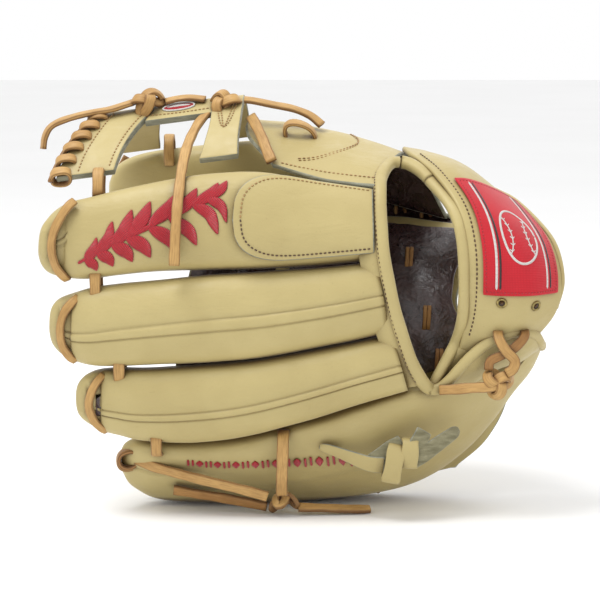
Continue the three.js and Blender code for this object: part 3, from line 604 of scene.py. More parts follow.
# The third colour of each lace is its fibres and cut edges, and also painted shade where the lace is closed in.
LACE = lace_look("tan_lace", tone(196, 157, 96), tone(170, 130, 74), tone(106, 70, 36))
DARK_LACE = lace_look("flesh_side_lace", tone(170, 126, 70), tone(146, 102, 54), tone(88, 58, 30))
RAW = raw_look("raw_cut_edge", tone(158, 157, 138), tone(114, 114, 98))
FLESH = raw_look("flesh_side", tone(148, 143, 114), tone(110, 105, 80))
LINING = lining_look("brown_lining")
WOOL = fuzzy_look("sheared_wool", tone(222, 216, 204), tone(150, 142, 132), 420)
FELT = fuzzy_look("pressed_felt", tone(214, 208, 194), tone(178, 170, 152), 700)
# The second colour of each plain sewn thread is its twist and also painted shade where it meets the leather.
DARK_THREAD = thread_look("brown_thread", tone(92, 62, 34), tone(48, 32, 20))
TAN_THREAD = thread_look("tan_thread", tone(186, 146, 88), tone(120, 88, 48))
RED_THREAD = satin_look("red_embroidery", tone(206, 26, 44), tone(120, 8, 20))
SEAM_RED = thread_look("red_thread", tone(178, 20, 34), tone(110, 8, 18))
WHITE_THREAD = satin_look("white_embroidery", tone(238, 236, 230), tone(176, 174, 170))
BLACK_THREAD = satin_look("black_embroidery", tone(26, 24, 26), tone(8, 8, 8))
PATCH = woven_look("red_patch", tone(204, 26, 42), tone(132, 10, 22))
BRASS = metal_look("dull_brass", tone(168, 150, 96), tone(92, 84, 62))


# ---------------------------------------------------------------- surfaces
class Surface:
    """A smooth surface of two parameters with the side it faces."""

    def __init__(self, point, toward, du=0.004, dv=0.004):
        self.point = point
        self.toward = toward
        self.du = du
        self.dv = dv

    def normal(self, u, v):
        """Unit normals, turned to the side that the surface faces."""
        a = self.point(u + self.du, v) - self.point(u - self.du, v)
        b = self.point(u, v + self.dv) - self.point(u, v - self.dv)
        n = unit(np.cross(a, b))
        want = self.toward(u, v) if callable(self.toward) else np.broadcast_to(self.toward, n.shape)
        sign = np.where((n * want).sum(-1, keepdims=True) < 0, -1.0, 1.0)
        return n * sign

    def at(self, u, v, lift=0.0):
        """Points lifted off the surface along its normals."""
        u = np.asarray(u, float)
        v = np.asarray(v, float)
        rise = np.asarray(lift, float)[..., None] if np.ndim(lift) else lift
        return self.point(u, v) + self.normal(u, v) * rise


def net_surface(rows, toward):
    """A smooth surface through rows of points, u from row to row and v along them."""
    rows = np.asarray(rows, float)

    def point(u, v):
        u, v = np.broadcast_arrays(np.asarray(u, float), np.asarray(v, float))
        cols = [smooth(row, np.clip(v, 0, 1).ravel()) for row in rows]
        stack = np.stack(cols)
        last = len(rows) - 1
        uu = np.clip(u, 0, 1).ravel() * last
        i = np.minimum(np.floor(uu).astype(int), last - 1)
        f = (uu - i)[:, None]
        k = np.arange(len(uu))
        ext = np.concatenate([[2 * stack[0] - stack[1]], stack, [2 * stack[-1] - stack[-2]]])
        a, b, c, d = ext[i, k], ext[i + 1, k], ext[i + 2, k], ext[i + 3, k]
        m0 = (c - a) / 2
        m1 = (d - b) / 2
        h = f * f * (3 - 2 * f)
        out = b + (c - b) * h + m0 * f * (1 - f) ** 2 - m1 * f * f * (1 - f)
        return out.reshape(*u.shape, 3)

    return Surface(point, np.asarray(toward, float))


def grid_of(surface, us, vs):
    u, v = np.meshgrid(us, vs, indexing="ij")
    return surface.point(u, v)


# ---------------------------------------------------------------- stitches
THREADS = {}


# a stitch's place along its length, its thickness and its rise out of the leather, all as fractions
STITCH_ARCH = ((0.0, 0.35, -0.5), (0.16, 0.9, 0.5), (0.5, 1.0, 1.0), (0.84, 0.9, 0.5), (1.0, 0.35, -0.5))


def stitch_run(points, normals, body, material, pitch=2.5, size=0.42, proud=0.22, fill=0.68):
    """A line of separate stitches along points on a surface."""
    points = np.asarray(points, float)
    normals = np.asarray(normals, float)
    step = np.linalg.norm(np.diff(points, axis=0), axis=1)
    s = np.concatenate([[0], np.cumsum(step)])
    count = max(2, int(round(s[-1] / pitch)))
    bucket = THREADS.setdefault((material.name, body), [[], [], material])
    verts, faces = bucket[0], bucket[1]
    for i in range(count):
        mid = (i + 0.5) / count * s[-1]
        half = s[-1] / count * fill / 2
        ends = []
        for at in (mid - half, mid + half):
            ends.append(np.array([np.interp(at, s, points[:, k]) for k in range(3)]))
        n = unit(np.array([np.interp(mid, s, normals[:, k]) for k in range(3)]))
        along = unit(ends[1] - ends[0])
        side = unit(np.cross(n, along))
        start = len(verts)
        for f, r, rise in STITCH_ARCH:
            p = ends[0] * (1 - f) + ends[1] * f + n * proud * rise
            for q in range(6):
                a = q / 6 * 2 * PI
                verts.append(p + side * math.cos(a) * size * r + n * math.sin(a) * size * r * 0.8)
        for row in range(4):
            for q in range(6):
                a = start + row * 6 + q
                b = start + row * 6 + (q + 1) % 6
                faces.append((a, b, b + 6, a + 6))
        faces.append(tuple(start + 5 - q for q in range(6)))
        faces.append(tuple(start + 24 + q for q in range(6)))


def sew(surface, line, body, material, lift=0.0, pitch=2.5, size=0.42, count=60):
    """Stitches along a line of (u, v) on a surface."""
    line = smooth(np.asarray(line, float), np.linspace(0, 1, count))
    u, v = line[:, 0], line[:, 1]
    stitch_run(surface.at(u, v, lift), surface.normal(u, v), body, material, pitch, size)


def flush_threads():
    """Makes one mesh of stitches for each thread and body."""
    for k, ((name, body), (verts, faces, material)) in enumerate(THREADS.items()):
        dress(make_mesh(f"stitches_{k:02d}_{name}", np.array(verts), faces, None, [material]), body)


def seam_cord(surface, line, name, material, width, height, lift=0.0, count=70):
    """A raised band on a surface along (u, v), as satin stitch is. width may be a function of 0 to 1."""
    t = np.linspace(0, 1, count)
    line = smooth(np.asarray(line, float), t)
    p = surface.at(line[:, 0], line[:, 1], lift)
    n = surface.normal(line[:, 0], line[:, 1])
    direction = unit(np.gradient(p, axis=0))
    side = unit(np.cross(n, direction))
    s = np.concatenate([[0], np.cumsum(np.linalg.norm(np.diff(p, axis=0), axis=1))])
    rings = []
    uvs = []
    for i in range(count):
        w = width(t[i]) if callable(width) else width
        h = height(t[i]) if callable(height) else height
        end = min(s[i], s[-1] - s[i]) / max(w * 0.5, 0.3)
        if end < 1:
            w *= math.sqrt(max(0.02, 1 - (1 - end) ** 2))
        ring = []
        for k in range(10):
            a = k / 10 * 2 * PI
            c, sn = math.cos(a), math.sin(a)
            ring.append(p[i] + side[i] * c * w / 2 + n[i] * (sn * h if sn > 0 else sn * 0.35))
            uvs.append((s[i] / 1000, c * w / 2000))
        rings.append(ring)
    return skin(name, rings, False, [material], uvs)


# ---------------------------------------------------------------- shapes shared with the CAD part
STALLS = {
    "index": [
        [-146, 9, 168, -147, 10, 152, 7], [-142, 12, 175, -145, 14, 144, 16],
        [-134, 17, 182.5, -137, 17, 140.5, 22], [-121, 20, 186, -123, 14, 139.5, 26],
        [-104, 21, 190, -104, 12, 142, 28], [-80, 22, 195, -80, 10, 144.6, 29],
        [-50, 22, 199.5, -50, 9, 145.6, 30], [-20, 23, 200, -20, 8, 146.4, 30],
        [12, 24, 193, 12, 8, 148.6, 28], [42, 22, 188, 43, 8, 151.8, 24],
    ],
    "middle": [
        [-141, 12, 121, -141.5, 12, 104, 7], [-139, 13, 127, -139, 15, 97, 15],
        [-131, 15, 131, -132, 19, 92.6, 22], [-120, 13, 134.5, -120, 17, 89.5, 26],
        [-104, 12, 137, -104, 14, 89.4, 28], [-80, 10, 139.5, -80, 11, 91, 29],
        [-50, 9, 143, -50, 9, 92.4, 30], [-20, 8, 145, -20, 8, 95.2, 30],
        [15, 8, 147.2, 18, 8, 102.4, 28], [44, 8, 150.6, 51, 8, 109.6, 24],
    ],
    "ring": [
        [-126, 12, 77, -126.5, 13, 62, 7], [-124, 14, 82, -124, 17, 56, 14],
        [-116, 18, 86, -117, 23, 50.5, 20], [-104, 16, 87.4, -104, 22, 47.5, 24],
        [-88, 12, 88, -88, 18, 45, 26], [-60, 10, 90.4, -60, 14, 44.6, 28],
        [-30, 9, 93.2, -30, 12, 48.6, 29], [0, 8, 98, 0, 10, 57, 29],
        [30, 8, 104, 34, 9, 68, 28], [53, 8, 108.2, 62, 9, 76, 24],
    ],
    "pinky": [
        [-106, 33, 34, -104, 40, 20, 6], [-103, 29, 39, -99, 44, 13, 14],
        [-94, 25, 42.4, -90, 50, 7, 20], [-80, 21, 42, -76, 54, 4, 23],
        [-55, 18, 42, -52, 56, 3, 25], [-28, 15, 46.2, -24, 56, 3.4, 26],
        [2, 12, 54.6, 8, 56, 4.4, 27], [34, 10, 66, 42, 55, 7.4, 26],
        [60, 10, 75, 72, 54, 15, 22], [80, 10, 80, 94, 52, 29, 15],
        [96, 10, 92, 112, 52, 47, 10], [110, 10.5, 102, 126, 52, 66, 8],
        [123, 12, 106.5, 136, 50, 80, 7], [132, 16, 106.5, 141, 44, 93, 6],
        [136, 21, 105, 142, 38, 98, 5],
    ],
    "thumb": [
        [-118, 128, 186, -118, 131, 170, 7], [-114, 124, 195, -115, 134, 161, 15],
        [-104, 121, 201, -105, 136, 156, 21], [-88, 118, 205, -88, 137, 154, 25],
        [-60, 115, 208, -60, 137, 154, 27], [-30, 112, 211, -30, 136, 155, 27],
        [-5, 108, 212, -5, 134, 157, 26], [14, 104, 210, 14, 132, 160, 24],
    ],
}
PALM = [
    [[-66, 74, 2.4], [25, 77, 2.4], [94, 70, 18]],
    [[-50, 68, 9], [30, 67, 9], [112, 66, 36]],
    [[-40, 61, 24], [35, 61, 27], [123, 62, 60]],
    [[-36, 55, 49], [38, 59, 60], [122, 58, 84]],
    [[-35, 53, 74], [40, 59, 86], [104, 59, 102]],
    [[-34, 60, 100], [40, 63.5, 109.5], [93, 64, 117]],
    [[-20, 76, 124], [42, 80, 132], [98, 76, 134]],
    [[-14, 98, 142], [44, 102, 150], [106, 92, 149]],
    [[-6, 126, 152], [44, 126, 163], [98, 110, 160]],
]
THUMB_BACK = [
    [[-15, 36, 203], [3, 28.5, 198], [20, 22, 194.6], [44, 15, 193]],
    [[-22, 45, 210], [0, 42, 207], [22, 38, 205], [49, 32, 201.5]],
    [[-30, 60, 219], [-2, 60, 216.5], [26, 57, 213], [56, 52, 206.5]],
    [[-29, 78, 225.5], [-2, 80, 223], [28, 76, 217.5], [62, 70, 207]],
    [[-12, 97, 222], [6, 100, 219], [36, 98, 210], [70, 90, 199]],
    [[10, 116, 208], [22, 120, 202], [46, 118, 193], [80, 106, 184]],
    [[18, 132, 184], [30, 134, 180], [52, 132, 174], [90, 115, 165]],
]
STRAP = [
    [[92.5, 12, 100], [105, 9, 99.5], [118, 12, 100], [131.5, 20, 101]],
    [[96, 4, 120], [112, -1, 119.5], [129, 1, 120], [145.4, 12, 121]],
    [[96.4, -2, 142], [113, -6, 141], [131, -3, 140], [148.6, 13, 139]],
    [[95, -2, 163], [111, -3, 162], [129, 5, 159], [145, 25, 157]],
    [[90, 6, 182], [104, 10, 180.5], [121, 21, 175], [136.5, 42, 169]],
    [[78, 28, 198.5], [92, 32, 198], [108, 42, 191], [125, 60, 179]],
    [[66, 50, 207.5], [82, 54, 206], [98, 64, 199], [115, 80, 183]],
    [[62, 72, 210], [78, 78, 206], [94, 88, 196], [109, 97, 181]],
]
MOUTH = [
    [46.4, 24, 197], [45.6, 12, 189], [45.8, 3, 173],
    [47.4, -1.5, 155], [52, -2.5, 131], [57.5, -2.5, 111], [64, -1, 93], [71, 3, 80.5],
]
STRAP_EDGE = [
    [90, 12.5, 104], [93, 3.6, 120], [93.2, -1.6, 142], [91.8, -1.6, 163], [87, 7, 180.5],
    [75, 28.5, 195],
]
STRAP_OUTER = [
    [146.5, 13, 123], [150.2, 14, 139], [147, 26, 157.5], [138.5, 43, 169.5], [127, 61, 180],
    [117, 80.5, 184.5],
]
TIP_LEFT = [-141, -137, -131, -124.5, -118]
TIP_RIGHT = [-108, -104.5, -99, -92, -84]
BASE_LEFT = [-58, -55, -52.5, -51.5, -51.5]
BASE_RIGHT = [-36, -36, -35, -34, -33]

THUMB_BEND = ("finger_side", "thumb_side", (0, 34, 199), (0, 66, 214))
WEB_BEND = ("web_front", "web_back", (-60, 62, 233), (-60, 76, 239))


# ---------------------------------------------------------------- finger stalls
def stall_rows(rows, t):
    got = smooth(rows, t)
    return got[..., 0:3], got[..., 3:6], got[..., 6:7]


def stall_point(rows, t, angle, power=0.82):
    """Points of a stall's skin for arrays t (0 tip, 1 base) and angle (0 top edge, round its back)."""
    t, angle = np.broadcast_arrays(np.asarray(t, float), np.asarray(angle, float))
    top, low, thick = stall_rows(rows, t)
    a_top, a_low, _ = stall_rows(rows, np.minimum(t + 0.02, 1))
    b_top, b_low, _ = stall_rows(rows, np.maximum(t - 0.02, 0))
    way = (a_top + a_low - b_top - b_low) / 2
    half = (top - low) / 2
    face = unit(np.cross(half, way))
    face = np.where(face[..., 1:2] > 0, -face, face)
    c = np.cos(angle)
    s = np.sin(angle)
    c = (np.sign(c) * np.abs(c) ** power)[..., None]
    s = (np.sign(s) * np.abs(s) ** power)[..., None]
    return (top + low) / 2 + half * c + face * thick / 2 * s


def stall_surface(rows):
    def toward(u, v):
        centre = (stall_rows(rows, u)[0] + stall_rows(rows, u)[1]) / 2
        return stall_point(rows, u, v) - centre
    return Surface(lambda u, v: stall_point(rows, np.clip(u, 0, 1), v), toward, 0.006, 0.02)


def groove_profile(d, width, depth, bead):
    """Two sunk seam lines with a raised welt between; d is the distance from the middle of the pair."""
    side = np.abs(d) - width / 2
    sunk = -depth * np.exp(-((side / 0.42) ** 2))
    up = bead * np.clip(1 - (np.abs(d) / (width / 2)) ** 2, 0, 1) ** 0.5
    return sunk + np.where(np.abs(d) < width / 2, up, 0)


def make_stall(name, rows, welt=None, wrinkle=0.35, seed=1.0, rows_n=110, cols_n=96, hollow=(0.2, 1.0, 3.2),
               extra=None):
    """A leather stall with a lined hollow. welt is (angle at tip, angle at base, width mm, start t, end t)."""
    ts = np.linspace(0, 1, rows_n) ** 1.12
    base = np.linspace(0, 2 * PI, cols_n, endpoint=False)
    if welt:
        centre = (welt[0] + welt[1]) / 2
        half_height = 22.0
        offs = np.array([-2.6, -2.1, -1.8, -1.55, -1.3, -1.0, -0.6, 0, 0.6, 1.0, 1.3, 1.55, 1.8, 2.1, 2.6])
        extra_angles = centre + offs * welt[2] / 3.2 / half_height
        keep = np.abs(base - centre) > 3.1 * welt[2] / 3.2 / half_height
        base = np.sort(np.concatenate([base[keep], extra_angles]))
    t, a = np.meshgrid(ts, base, indexing="ij")
    if welt:
        line = welt[0] + (welt[1] - welt[0]) * t
        weight = np.clip(1 - np.abs(a - centre) / 1.1, 0, 1) ** 1.5
        a = a + (line - centre) * weight
    surface = stall_surface(rows)
    p = surface.point(t, a)
    n = surface.normal(t, a)
    lift = np.zeros(t.shape)
    if welt:
        reach = np.clip((t - welt[3]) / 0.03, 0, 1) * np.clip((welt[4] - t) / 0.03, 0, 1)
        radius = 21.0
        d = (a - line) * radius
        lift += groove_profile(d, welt[2], 0.75, 0.45) * reach
    field = rough_field(p.reshape(-1, 3) * np.array([0.018, 0.03, 0.045]), 1.0, seed, 3).reshape(t.shape)
    lift += wrinkle * field
    if extra is not None:
        lift += extra(p, t, a)
    p = p + n * lift[..., None]
    rings = [p[i] for i in range(len(ts))]
    start, finish, wall = hollow
    inner_t = np.linspace(finish, start, 16)
    inner = []
    for value in inner_t:
        tt = np.full(base.shape, value)
        q = surface.point(tt, base)
        m = surface.normal(tt, base)
        inner.append(q - m * wall)
    verts = np.concatenate(rings + inner)
    count = len(base)
    total = len(rings) + len(inner)
    faces = ring_faces(total, count)
    kinds = [1 if i >= len(rings) else 0 for i in range(total - 1) for _ in range(count)]
    faces.append(tuple(range(count - 1, -1, -1)))
    faces.append(tuple((total - 1) * count + j for j in range(count)))
    kinds += [0, 1]
    run = np.concatenate([ts, inner_t])
    uvs = np.array([(v * 0.19, k / count * 0.13) for v in run for k in range(count)])
    return make_mesh(name, verts, outward(verts, faces), uvs, [LEATHER, LINING], kinds)


index_surface = stall_surface(STALLS["index"])
pinky_surface = stall_surface(STALLS["pinky"])


def index_marks(p, t, a):
    """A short welt at the fingertip."""
    d = (a - math.radians(84)) * 21
    reach = np.clip((t - 0.07) / 0.02, 0, 1) * np.clip((0.245 - t) / 0.012, 0, 1)
    return groove_profile(d, 3.4, 0.7, 0.5) * reach


made = make_stall("index_stall_visual", STALLS["index"], None, 0.3, 1.0, 130, 150, extra=index_marks)
dress(made, "finger_side", ("index_stall",))
made = make_stall("middle_stall_visual", STALLS["middle"],
                  (math.radians(100), math.radians(91), 4.0, 0.09, 1.1), 0.4, 5.0)
dress(made, "finger_side", ("middle_stall",))
made = make_stall("ring_stall_visual", STALLS["ring"],
                  (math.radians(103), math.radians(94), 3.4, 0.12, 1.1), 0.4, 9.0)
dress(made, "finger_side", ("ring_stall",))


def pinky_marks(p, t, a):
    """The double seam along the lower back and the crease at the fingertip."""
    reach = np.clip((t - 0.395) / 0.02, 0, 1) * np.clip((0.54 - t) / 0.02, 0, 1)
    first = groove_profile((a - np.radians(89)) * 26, 3.4, 0.8, 0.3) * reach
    crease = -1.1 * np.exp(-(((a - np.radians(74)) * 18) / 0.8) ** 2)
    dip = -2.2 * np.exp(-(((t - 0.415) / 0.03) ** 2)) * np.exp(-(((a - np.radians(36)) / 0.45) ** 2))
    return first + dip + crease * np.clip((t - 0.08) / 0.04, 0, 1) * np.clip((0.27 - t) / 0.05, 0, 1)


made = make_stall("pinky_stall_visual", STALLS["pinky"], None, 0.5, 14.0, 170, 150, (0.15, 0.6, 3.2),
                  extra=pinky_marks)
dress(made, "pinky_side", ("pinky_stall", "pinky_back_panel"))
made = make_stall("thumb_stall_visual", STALLS["thumb"],
                  (math.radians(268), math.radians(268), 3.6, 0.1, 0.98), 0.5, 21.0)
dress(made, "thumb_side", ("thumb_stall",))

# ---------------------------------------------------------------- index finger pad
PAD_LOW = PI * 0.79
PAD_HIGH = PI * 0.17
PAD_MID = (PAD_LOW + PAD_HIGH) / 2


def pad_half(s):
    """Half of the pad's angle at s (0 rounded end, 1 base)."""
    reach = (PAD_LOW - PAD_HIGH) / 2
    return reach * (1 - np.clip(1 - s / 0.42, 0, 1) ** 2.4) ** (1 / 2.1)


def pad_point(u, v):
    s = np.clip(u, 0, 1)
    t = 0.712 + (0.995 - 0.712) * s
    mid = PAD_MID + 0.10 * (1 - s)
    return stall_point(STALLS["index"], t, mid + (2 * v - 1) * pad_half(s) * (1 - 0.06 * (1 - s)))


pad_surface = Surface(pad_point, arr(0, -1, 0.2))
s_rows = np.concatenate([[0.004, 0.012, 0.025, 0.045, 0.07], np.linspace(0.1, 1, 40)])
pad_grid = grid_of(pad_surface, s_rows, np.linspace(0, 1, 46))
made = sheet("index_finger_pad_visual", pad_grid, 2.6, LEATHER, -2.0, 0.9, None, RAW)
dress(made, "finger_side", ("index_finger_pad",))
rim = [(0.985, 0.075), (0.7, 0.06), (0.42, 0.06), (0.2, 0.09), (0.085, 0.2), (0.055, 0.5), (0.085, 0.8),
       (0.2, 0.91), (0.42, 0.94), (0.7, 0.94), (0.985, 0.93)]
sew(pad_surface, rim[:6], "finger_side", TAN_THREAD, 3.35, 2.5, 0.4, 90)
sew(pad_surface, rim[5:], "finger_side", DARK_THREAD, 3.35, 2.5, 0.42, 90)

# ---------------------------------------------------------------- binding of the back opening
def rolled(name, route, width, thick, material, face=(-1, 0, 0), step=1.5):
    """A rolled edge along a route, with the line of its middle and its directions across and up."""
    points = even(route, int(line_length(even(route, 60)) / step))
    direction, up, wide = frames(points, face)
    rings = []
    uvs = []
    s = 0.0
    for i, p in enumerate(points):
        ring = []
        for k in range(20):
            a = k / 20 * 2 * PI
            c, sn = math.cos(a), math.sin(a)
            c = math.copysign(abs(c) ** 0.85, c)
            sn = math.copysign(abs(sn) ** 0.85, sn)
            wob = 1 + 0.025 * math.sin(i * 0.31 + k * 0.6)
            ring.append(p + wide[i] * c * width / 2 * wob + up[i] * sn * thick / 2 * wob)
            uvs.append((s / 1000, k / 20 * 0.02))
        rings.append(ring)
        s += step
    return skin(name, rings, False, [material], uvs), points, wide, up


ARCH = [[75, 28.5, 195.5], [70, 36, 200], [63.5, 42, 203.6], [57, 43, 204.6], [51.6, 39.5, 203.4]]
mouth_route = ARCH + MOUTH + [[75.5, 6, 76.5]]
binding, mouth_line, mouth_wide, mouth_up = rolled("opening_binding_visual", mouth_route, 6.8, 7.6, LEATHER)
dress(binding, "finger_side", ("opening_binding",))

# the leather that the stalls' ends are sewn to, under the binding
hem = even(MOUTH, 70)
hem_rows = [hem + arr(-across, deep, -0.2 * across)
            for across, deep in ((-1.0, 1.0), (3.0, 0.6), (6.0, 1.0), (9.0, 2.2), (13.0, 4.4))]
made = sheet("stall_hem_visual", np.stack(hem_rows, axis=0), 1.6, LEATHER, 0.0, 0.7, LEATHER, LEATHER)
dress(made, "finger_side")
toward_wrist = -np.sign(mouth_wide[:, 1:2]) * mouth_wide
hem_out = mouth_up * 0.8 + toward_wrist * 0.6
inside = slice(int(len(mouth_line) * 0.26), int(len(mouth_line) * 0.95))
stitch_run((mouth_line + hem_out * 3.55)[inside], hem_out[inside], "finger_side", DARK_THREAD, 2.6, 0.4)


# ---------------------------------------------------------------- wrist strap
strap_surface = net_surface(STRAP, (0, -1, 0.3))
strap_grid = grid_of(strap_surface, np.linspace(0, 1, 64), np.linspace(0, 1, 40))
STRAP_SIGN = float(np.sign((normals_of(strap_grid)[20, 20] * arr(0, -1, 0)).sum()))
wave = rough_field(strap_grid.reshape(-1, 3) * 0.02, 1.0, 33.0).reshape(strap_grid.shape[:2])
strap_grid = strap_grid + normals_of(strap_grid) * (0.35 * wave)[..., None]
made = sheet("wrist_strap_visual", strap_grid, 3.4, LEATHER, 0.0, 1.3, LEATHER, LEATHER)
dress(made, "finger_side", ("wrist_strap",))

strap_foot = [[76, 8, 77], [80, 9, 85], [85.5, 11, 95]]
edge = rolled("strap_binding_visual", strap_foot + STRAP_EDGE, 6.0, 6.8, LEATHER)[0]
dress(edge, "finger_side", ("strap_binding",))
edge = rolled("strap_outer_binding_visual", STRAP_OUTER, 3.6, 3.8, LEATHER, (0.5, -0.6, 0.2))[0]
dress(edge, "finger_side", ("strap_outer_binding",))

# the strap's root, which runs down behind the heel
ROOT = [[[76, 10, 74], [92, 19, 78], [108, 25, 83], [124, 32, 90]],
        [[84, 11, 90], [99, 15, 91], [113, 18, 92.5], [128, 26, 95.5]],
        [[92.5, 12.4, 102], [105, 9.8, 102], [118, 12.6, 102.5], [131.8, 20, 103.5]]]
root_grid = grid_of(net_surface(ROOT, (0, -1, 0.3)), np.linspace(0, 1, 30), np.linspace(0, 1, 34))
made = sheet("strap_root_visual", root_grid, 3.2, LEATHER, 0.0, 1.2, LEATHER, LEATHER)
dress(made, "finger_side")

# rolled edge of the heel, from the opening round to the outer corner
HEEL_EDGE = [[74.5, 4.4, 76.6], [80, 4.6, 77.6], [85.5, 4.6, 82], [91, 4.4, 88.6], [97, 4.2, 95.2],
             [104, 4.0, 101.4], [112, 3.9, 106.2], [120, 4.4, 109.2], [128, 7.4, 110], [134.4, 13, 107.8],
             [138.4, 21, 102.4], [141, 30, 98.4]]
edge = rolled("heel_edge_visual", HEEL_EDGE, 6.4, 5.6, LEATHER, (0, -1, 0.4))[0]
dress(edge, "pinky_side")
brim = even(HEEL_EDGE, 60)
along_brim = np.linspace(0, 1, len(brim))
fall = np.clip((along_brim - 0.06) / 0.3, 0, 1) * np.clip((0.97 - along_brim) / 0.3, 0.03, 1)
flap_rows = [brim + np.outer(fall, arr(0.3, d, -h)) + arr(0, -0.6, 0)
             for d, h in ((0.0, 0.5), (0.6, 4.5), (2.6, 9.5), (6.5, 14.5), (12.5, 19.5))]
flap_grid = np.stack(flap_rows, axis=0)
flap_grid[1:, :, 1] += (np.arange(1, 5) * 0.8)[:, None] * (1 - fall)[None, :]
made = sheet("heel_flap_visual", flap_grid, 2.2, LEATHER, 0.0, 0.8, LEATHER, LEATHER)
dress(made, "pinky_side")

wool_grid = grid_of(strap_surface, np.linspace(0.16, 0.9, 60), np.linspace(0.1, 0.9, 40))
tuft = rough_field(wool_grid.reshape(-1, 3) * 0.22, 1.0, 3.0, 4).reshape(wool_grid.shape[:2])
wool_grid = wool_grid + normals_of(wool_grid) * (0.9 * tuft)[..., None]
made = sheet("wool_pad_visual", wool_grid, 6.0, WOOL, 5.4, 2.2)
dress(made, "finger_side", ("strap_wool_pad",))

# stitch lines on the strap: beside both bindings
sew(strap_surface, [(0.06, 0.075), (0.3, 0.085), (0.6, 0.085), (0.86, 0.09)], "finger_side", DARK_THREAD,
    1.75, 2.7, 0.4, 120)
sew(strap_surface, [(0.3, 0.955), (0.5, 0.96), (0.7, 0.96), (0.9, 0.96)], "finger_side", TAN_THREAD,
    1.75, 2.7, 0.4, 90)

# patch
PATCH_LOW = 0.238
PATCH_HIGH = 0.672
patch_us = np.linspace(PATCH_LOW, PATCH_HIGH, 48)
patch_vs = np.linspace(0.17, 0.93, 40)
patch_grid = grid_of(strap_surface, patch_us, patch_vs)
made = sheet("strap_patch_visual", patch_grid, 1.4, PATCH, STRAP_SIGN * 2.9, 0.5)
dress(made, "finger_side", ("strap_patch",))
FACE = 3.6  # the patch's face over the middle of the strap


def patch_line(name, line, material, width, height=0.35, count=60):
    """A satin line on the patch."""
    made = seam_cord(strap_surface, line, name, material, width, height, FACE - 0.05, count)
    dress(made, "finger_side")


for k, v in enumerate((0.30, 0.80)):
    for tint, across, material, width in (("white", v, WHITE_THREAD, 1.5),
                                          ("black", v + 0.035, BLACK_THREAD, 1.3)):
        line = [(PATCH_LOW + 0.02, across), (0.45, across), (PATCH_HIGH - 0.015, across)]
        patch_line(f"patch_{tint}_line_{k}", line, material, width)
sewn_low = PATCH_LOW + 0.01
sewn_high = PATCH_HIGH - 0.01
borders = [[(end, v) for v in (0.19, 0.55, 0.91)] for end in (sewn_low, sewn_high)]
borders += [[(u, v) for u in (sewn_low, 0.45, sewn_high)] for v in (0.195, 0.905)]
for border in borders:
    sew(strap_surface, border, "finger_side", SEAM_RED, FACE - 0.1, 2.0, 0.3)

# emblem: a plain ball with its two seams
EMBLEM = (0.458, 0.57)
RU = 0.105
RV = 0.175


def emblem(points):
    return [(EMBLEM[0] + RU * y, EMBLEM[1] + RV * x) for x, y in points]


ring = emblem([(math.cos(a), math.sin(a)) for a in np.linspace(0, 2 * PI, 25)])
patch_line("emblem_ring", ring, WHITE_THREAD, 1.5, 0.4, 110)
for k, side in enumerate((-1, 1)):
    arc = emblem([(side * (1.32 - 0.86 * math.cos(a)), 1.0 * math.sin(a)) for a in np.linspace(-0.78, 0.78, 9)])
    patch_line(f"emblem_seam_{k}", arc, WHITE_THREAD, 0.8, 0.35, 40)
    for q, a in enumerate(np.linspace(-0.62, 0.62, 6)):
        x, y = side * (1.32 - 0.86 * math.cos(a)), math.sin(a)
        tick = emblem([(x - 0.13, y + 0.07), (x, y), (x + 0.13, y + 0.07)])
        patch_line(f"emblem_tick_{k}_{q}", tick, WHITE_THREAD, 0.6, 0.4, 14)

# eyelets
for name, place_on_strap in (("eyelet_left", (114.5, -5.4, 128.4)), ("eyelet_right", (132.5, 0.6, 127.8))):
    near = np.linalg.norm(strap_grid - arr(*place_on_strap), axis=-1)
    row, col = np.unravel_index(np.argmin(near), near.shape)
    facing = normals_of(strap_grid)[row, col] * STRAP_SIGN
    centre = strap_grid[row, col] + facing * 1.85
    side = unit(np.cross(facing, arr(0, 0, 1)))
    rise = np.cross(side, facing)
    rings = []
    for k in range(28):
        a = k / 28 * 2 * PI
        out = side * math.cos(a) + rise * math.sin(a)
        ring = []
        for q in range(10):
            b = q / 10 * 2 * PI
            ring.append(centre + facing * -0.1 + out * (2.4 + 0.75 * math.cos(b)) + facing * 0.75 * math.sin(b))
        rings.append(ring)
    made = skin(name + "_visual", rings, True, [BRASS])
    dress(made, "finger_side", (name,))
    # painted shade: a sunken disc in the darker lace colour fills each eyelet's hole to stand for the shade inside it
    hole_shade_disc = []
    for r in (0, 0.35, 0.7, 1.0):
        deep = centre + facing * (-0.5 + 0.45 * r)
        hole_shade_disc.append([deep + (side * math.cos(a) + rise * math.sin(a)) * (0.4 + 1.9 * r)
                     for a in np.linspace(0, 2 * PI, 20, endpoint=False)])
    made = skin(name + "_hole", hole_shade_disc, False, [DARK_LACE])
    dress(made, "finger_side")

# ---------------------------------------------------------------- back of the thumb
thumb_back = net_surface(THUMB_BACK, (0, 0, 1))
thumb_back.toward = lambda u, v: np.stack([np.zeros(np.shape(u)), np.clip(np.asarray(u) * 2.4 - 1.0, -0.8, 1.2),
                                           1.0 - 0.2 * np.asarray(u)], axis=-1)
us = np.concatenate([np.linspace(0, 0.3, 34, endpoint=False), np.linspace(0.3, 1, 48)])
tb = grid_of(thumb_back, us, np.linspace(0, 1, 80))
field = rough_field(tb.reshape(-1, 3) * 0.025, 1.0, 44.0).reshape(tb.shape[:2])
tb_sign = float(np.sign((normals_of(tb)[10, 40] * arr(0, -0.5, 1)).sum()))
tb_n = normals_of(tb) * tb_sign
tb = tb + tb_n * (0.5 * field)[..., None]
made = sheet("thumb_back_visual", tb, 2.8, LEATHER, 0.0, 1.3, LINING, RAW, flip=tb_sign < 0)
dress(made, THUMB_BEND, ("thumb_back_panel",))
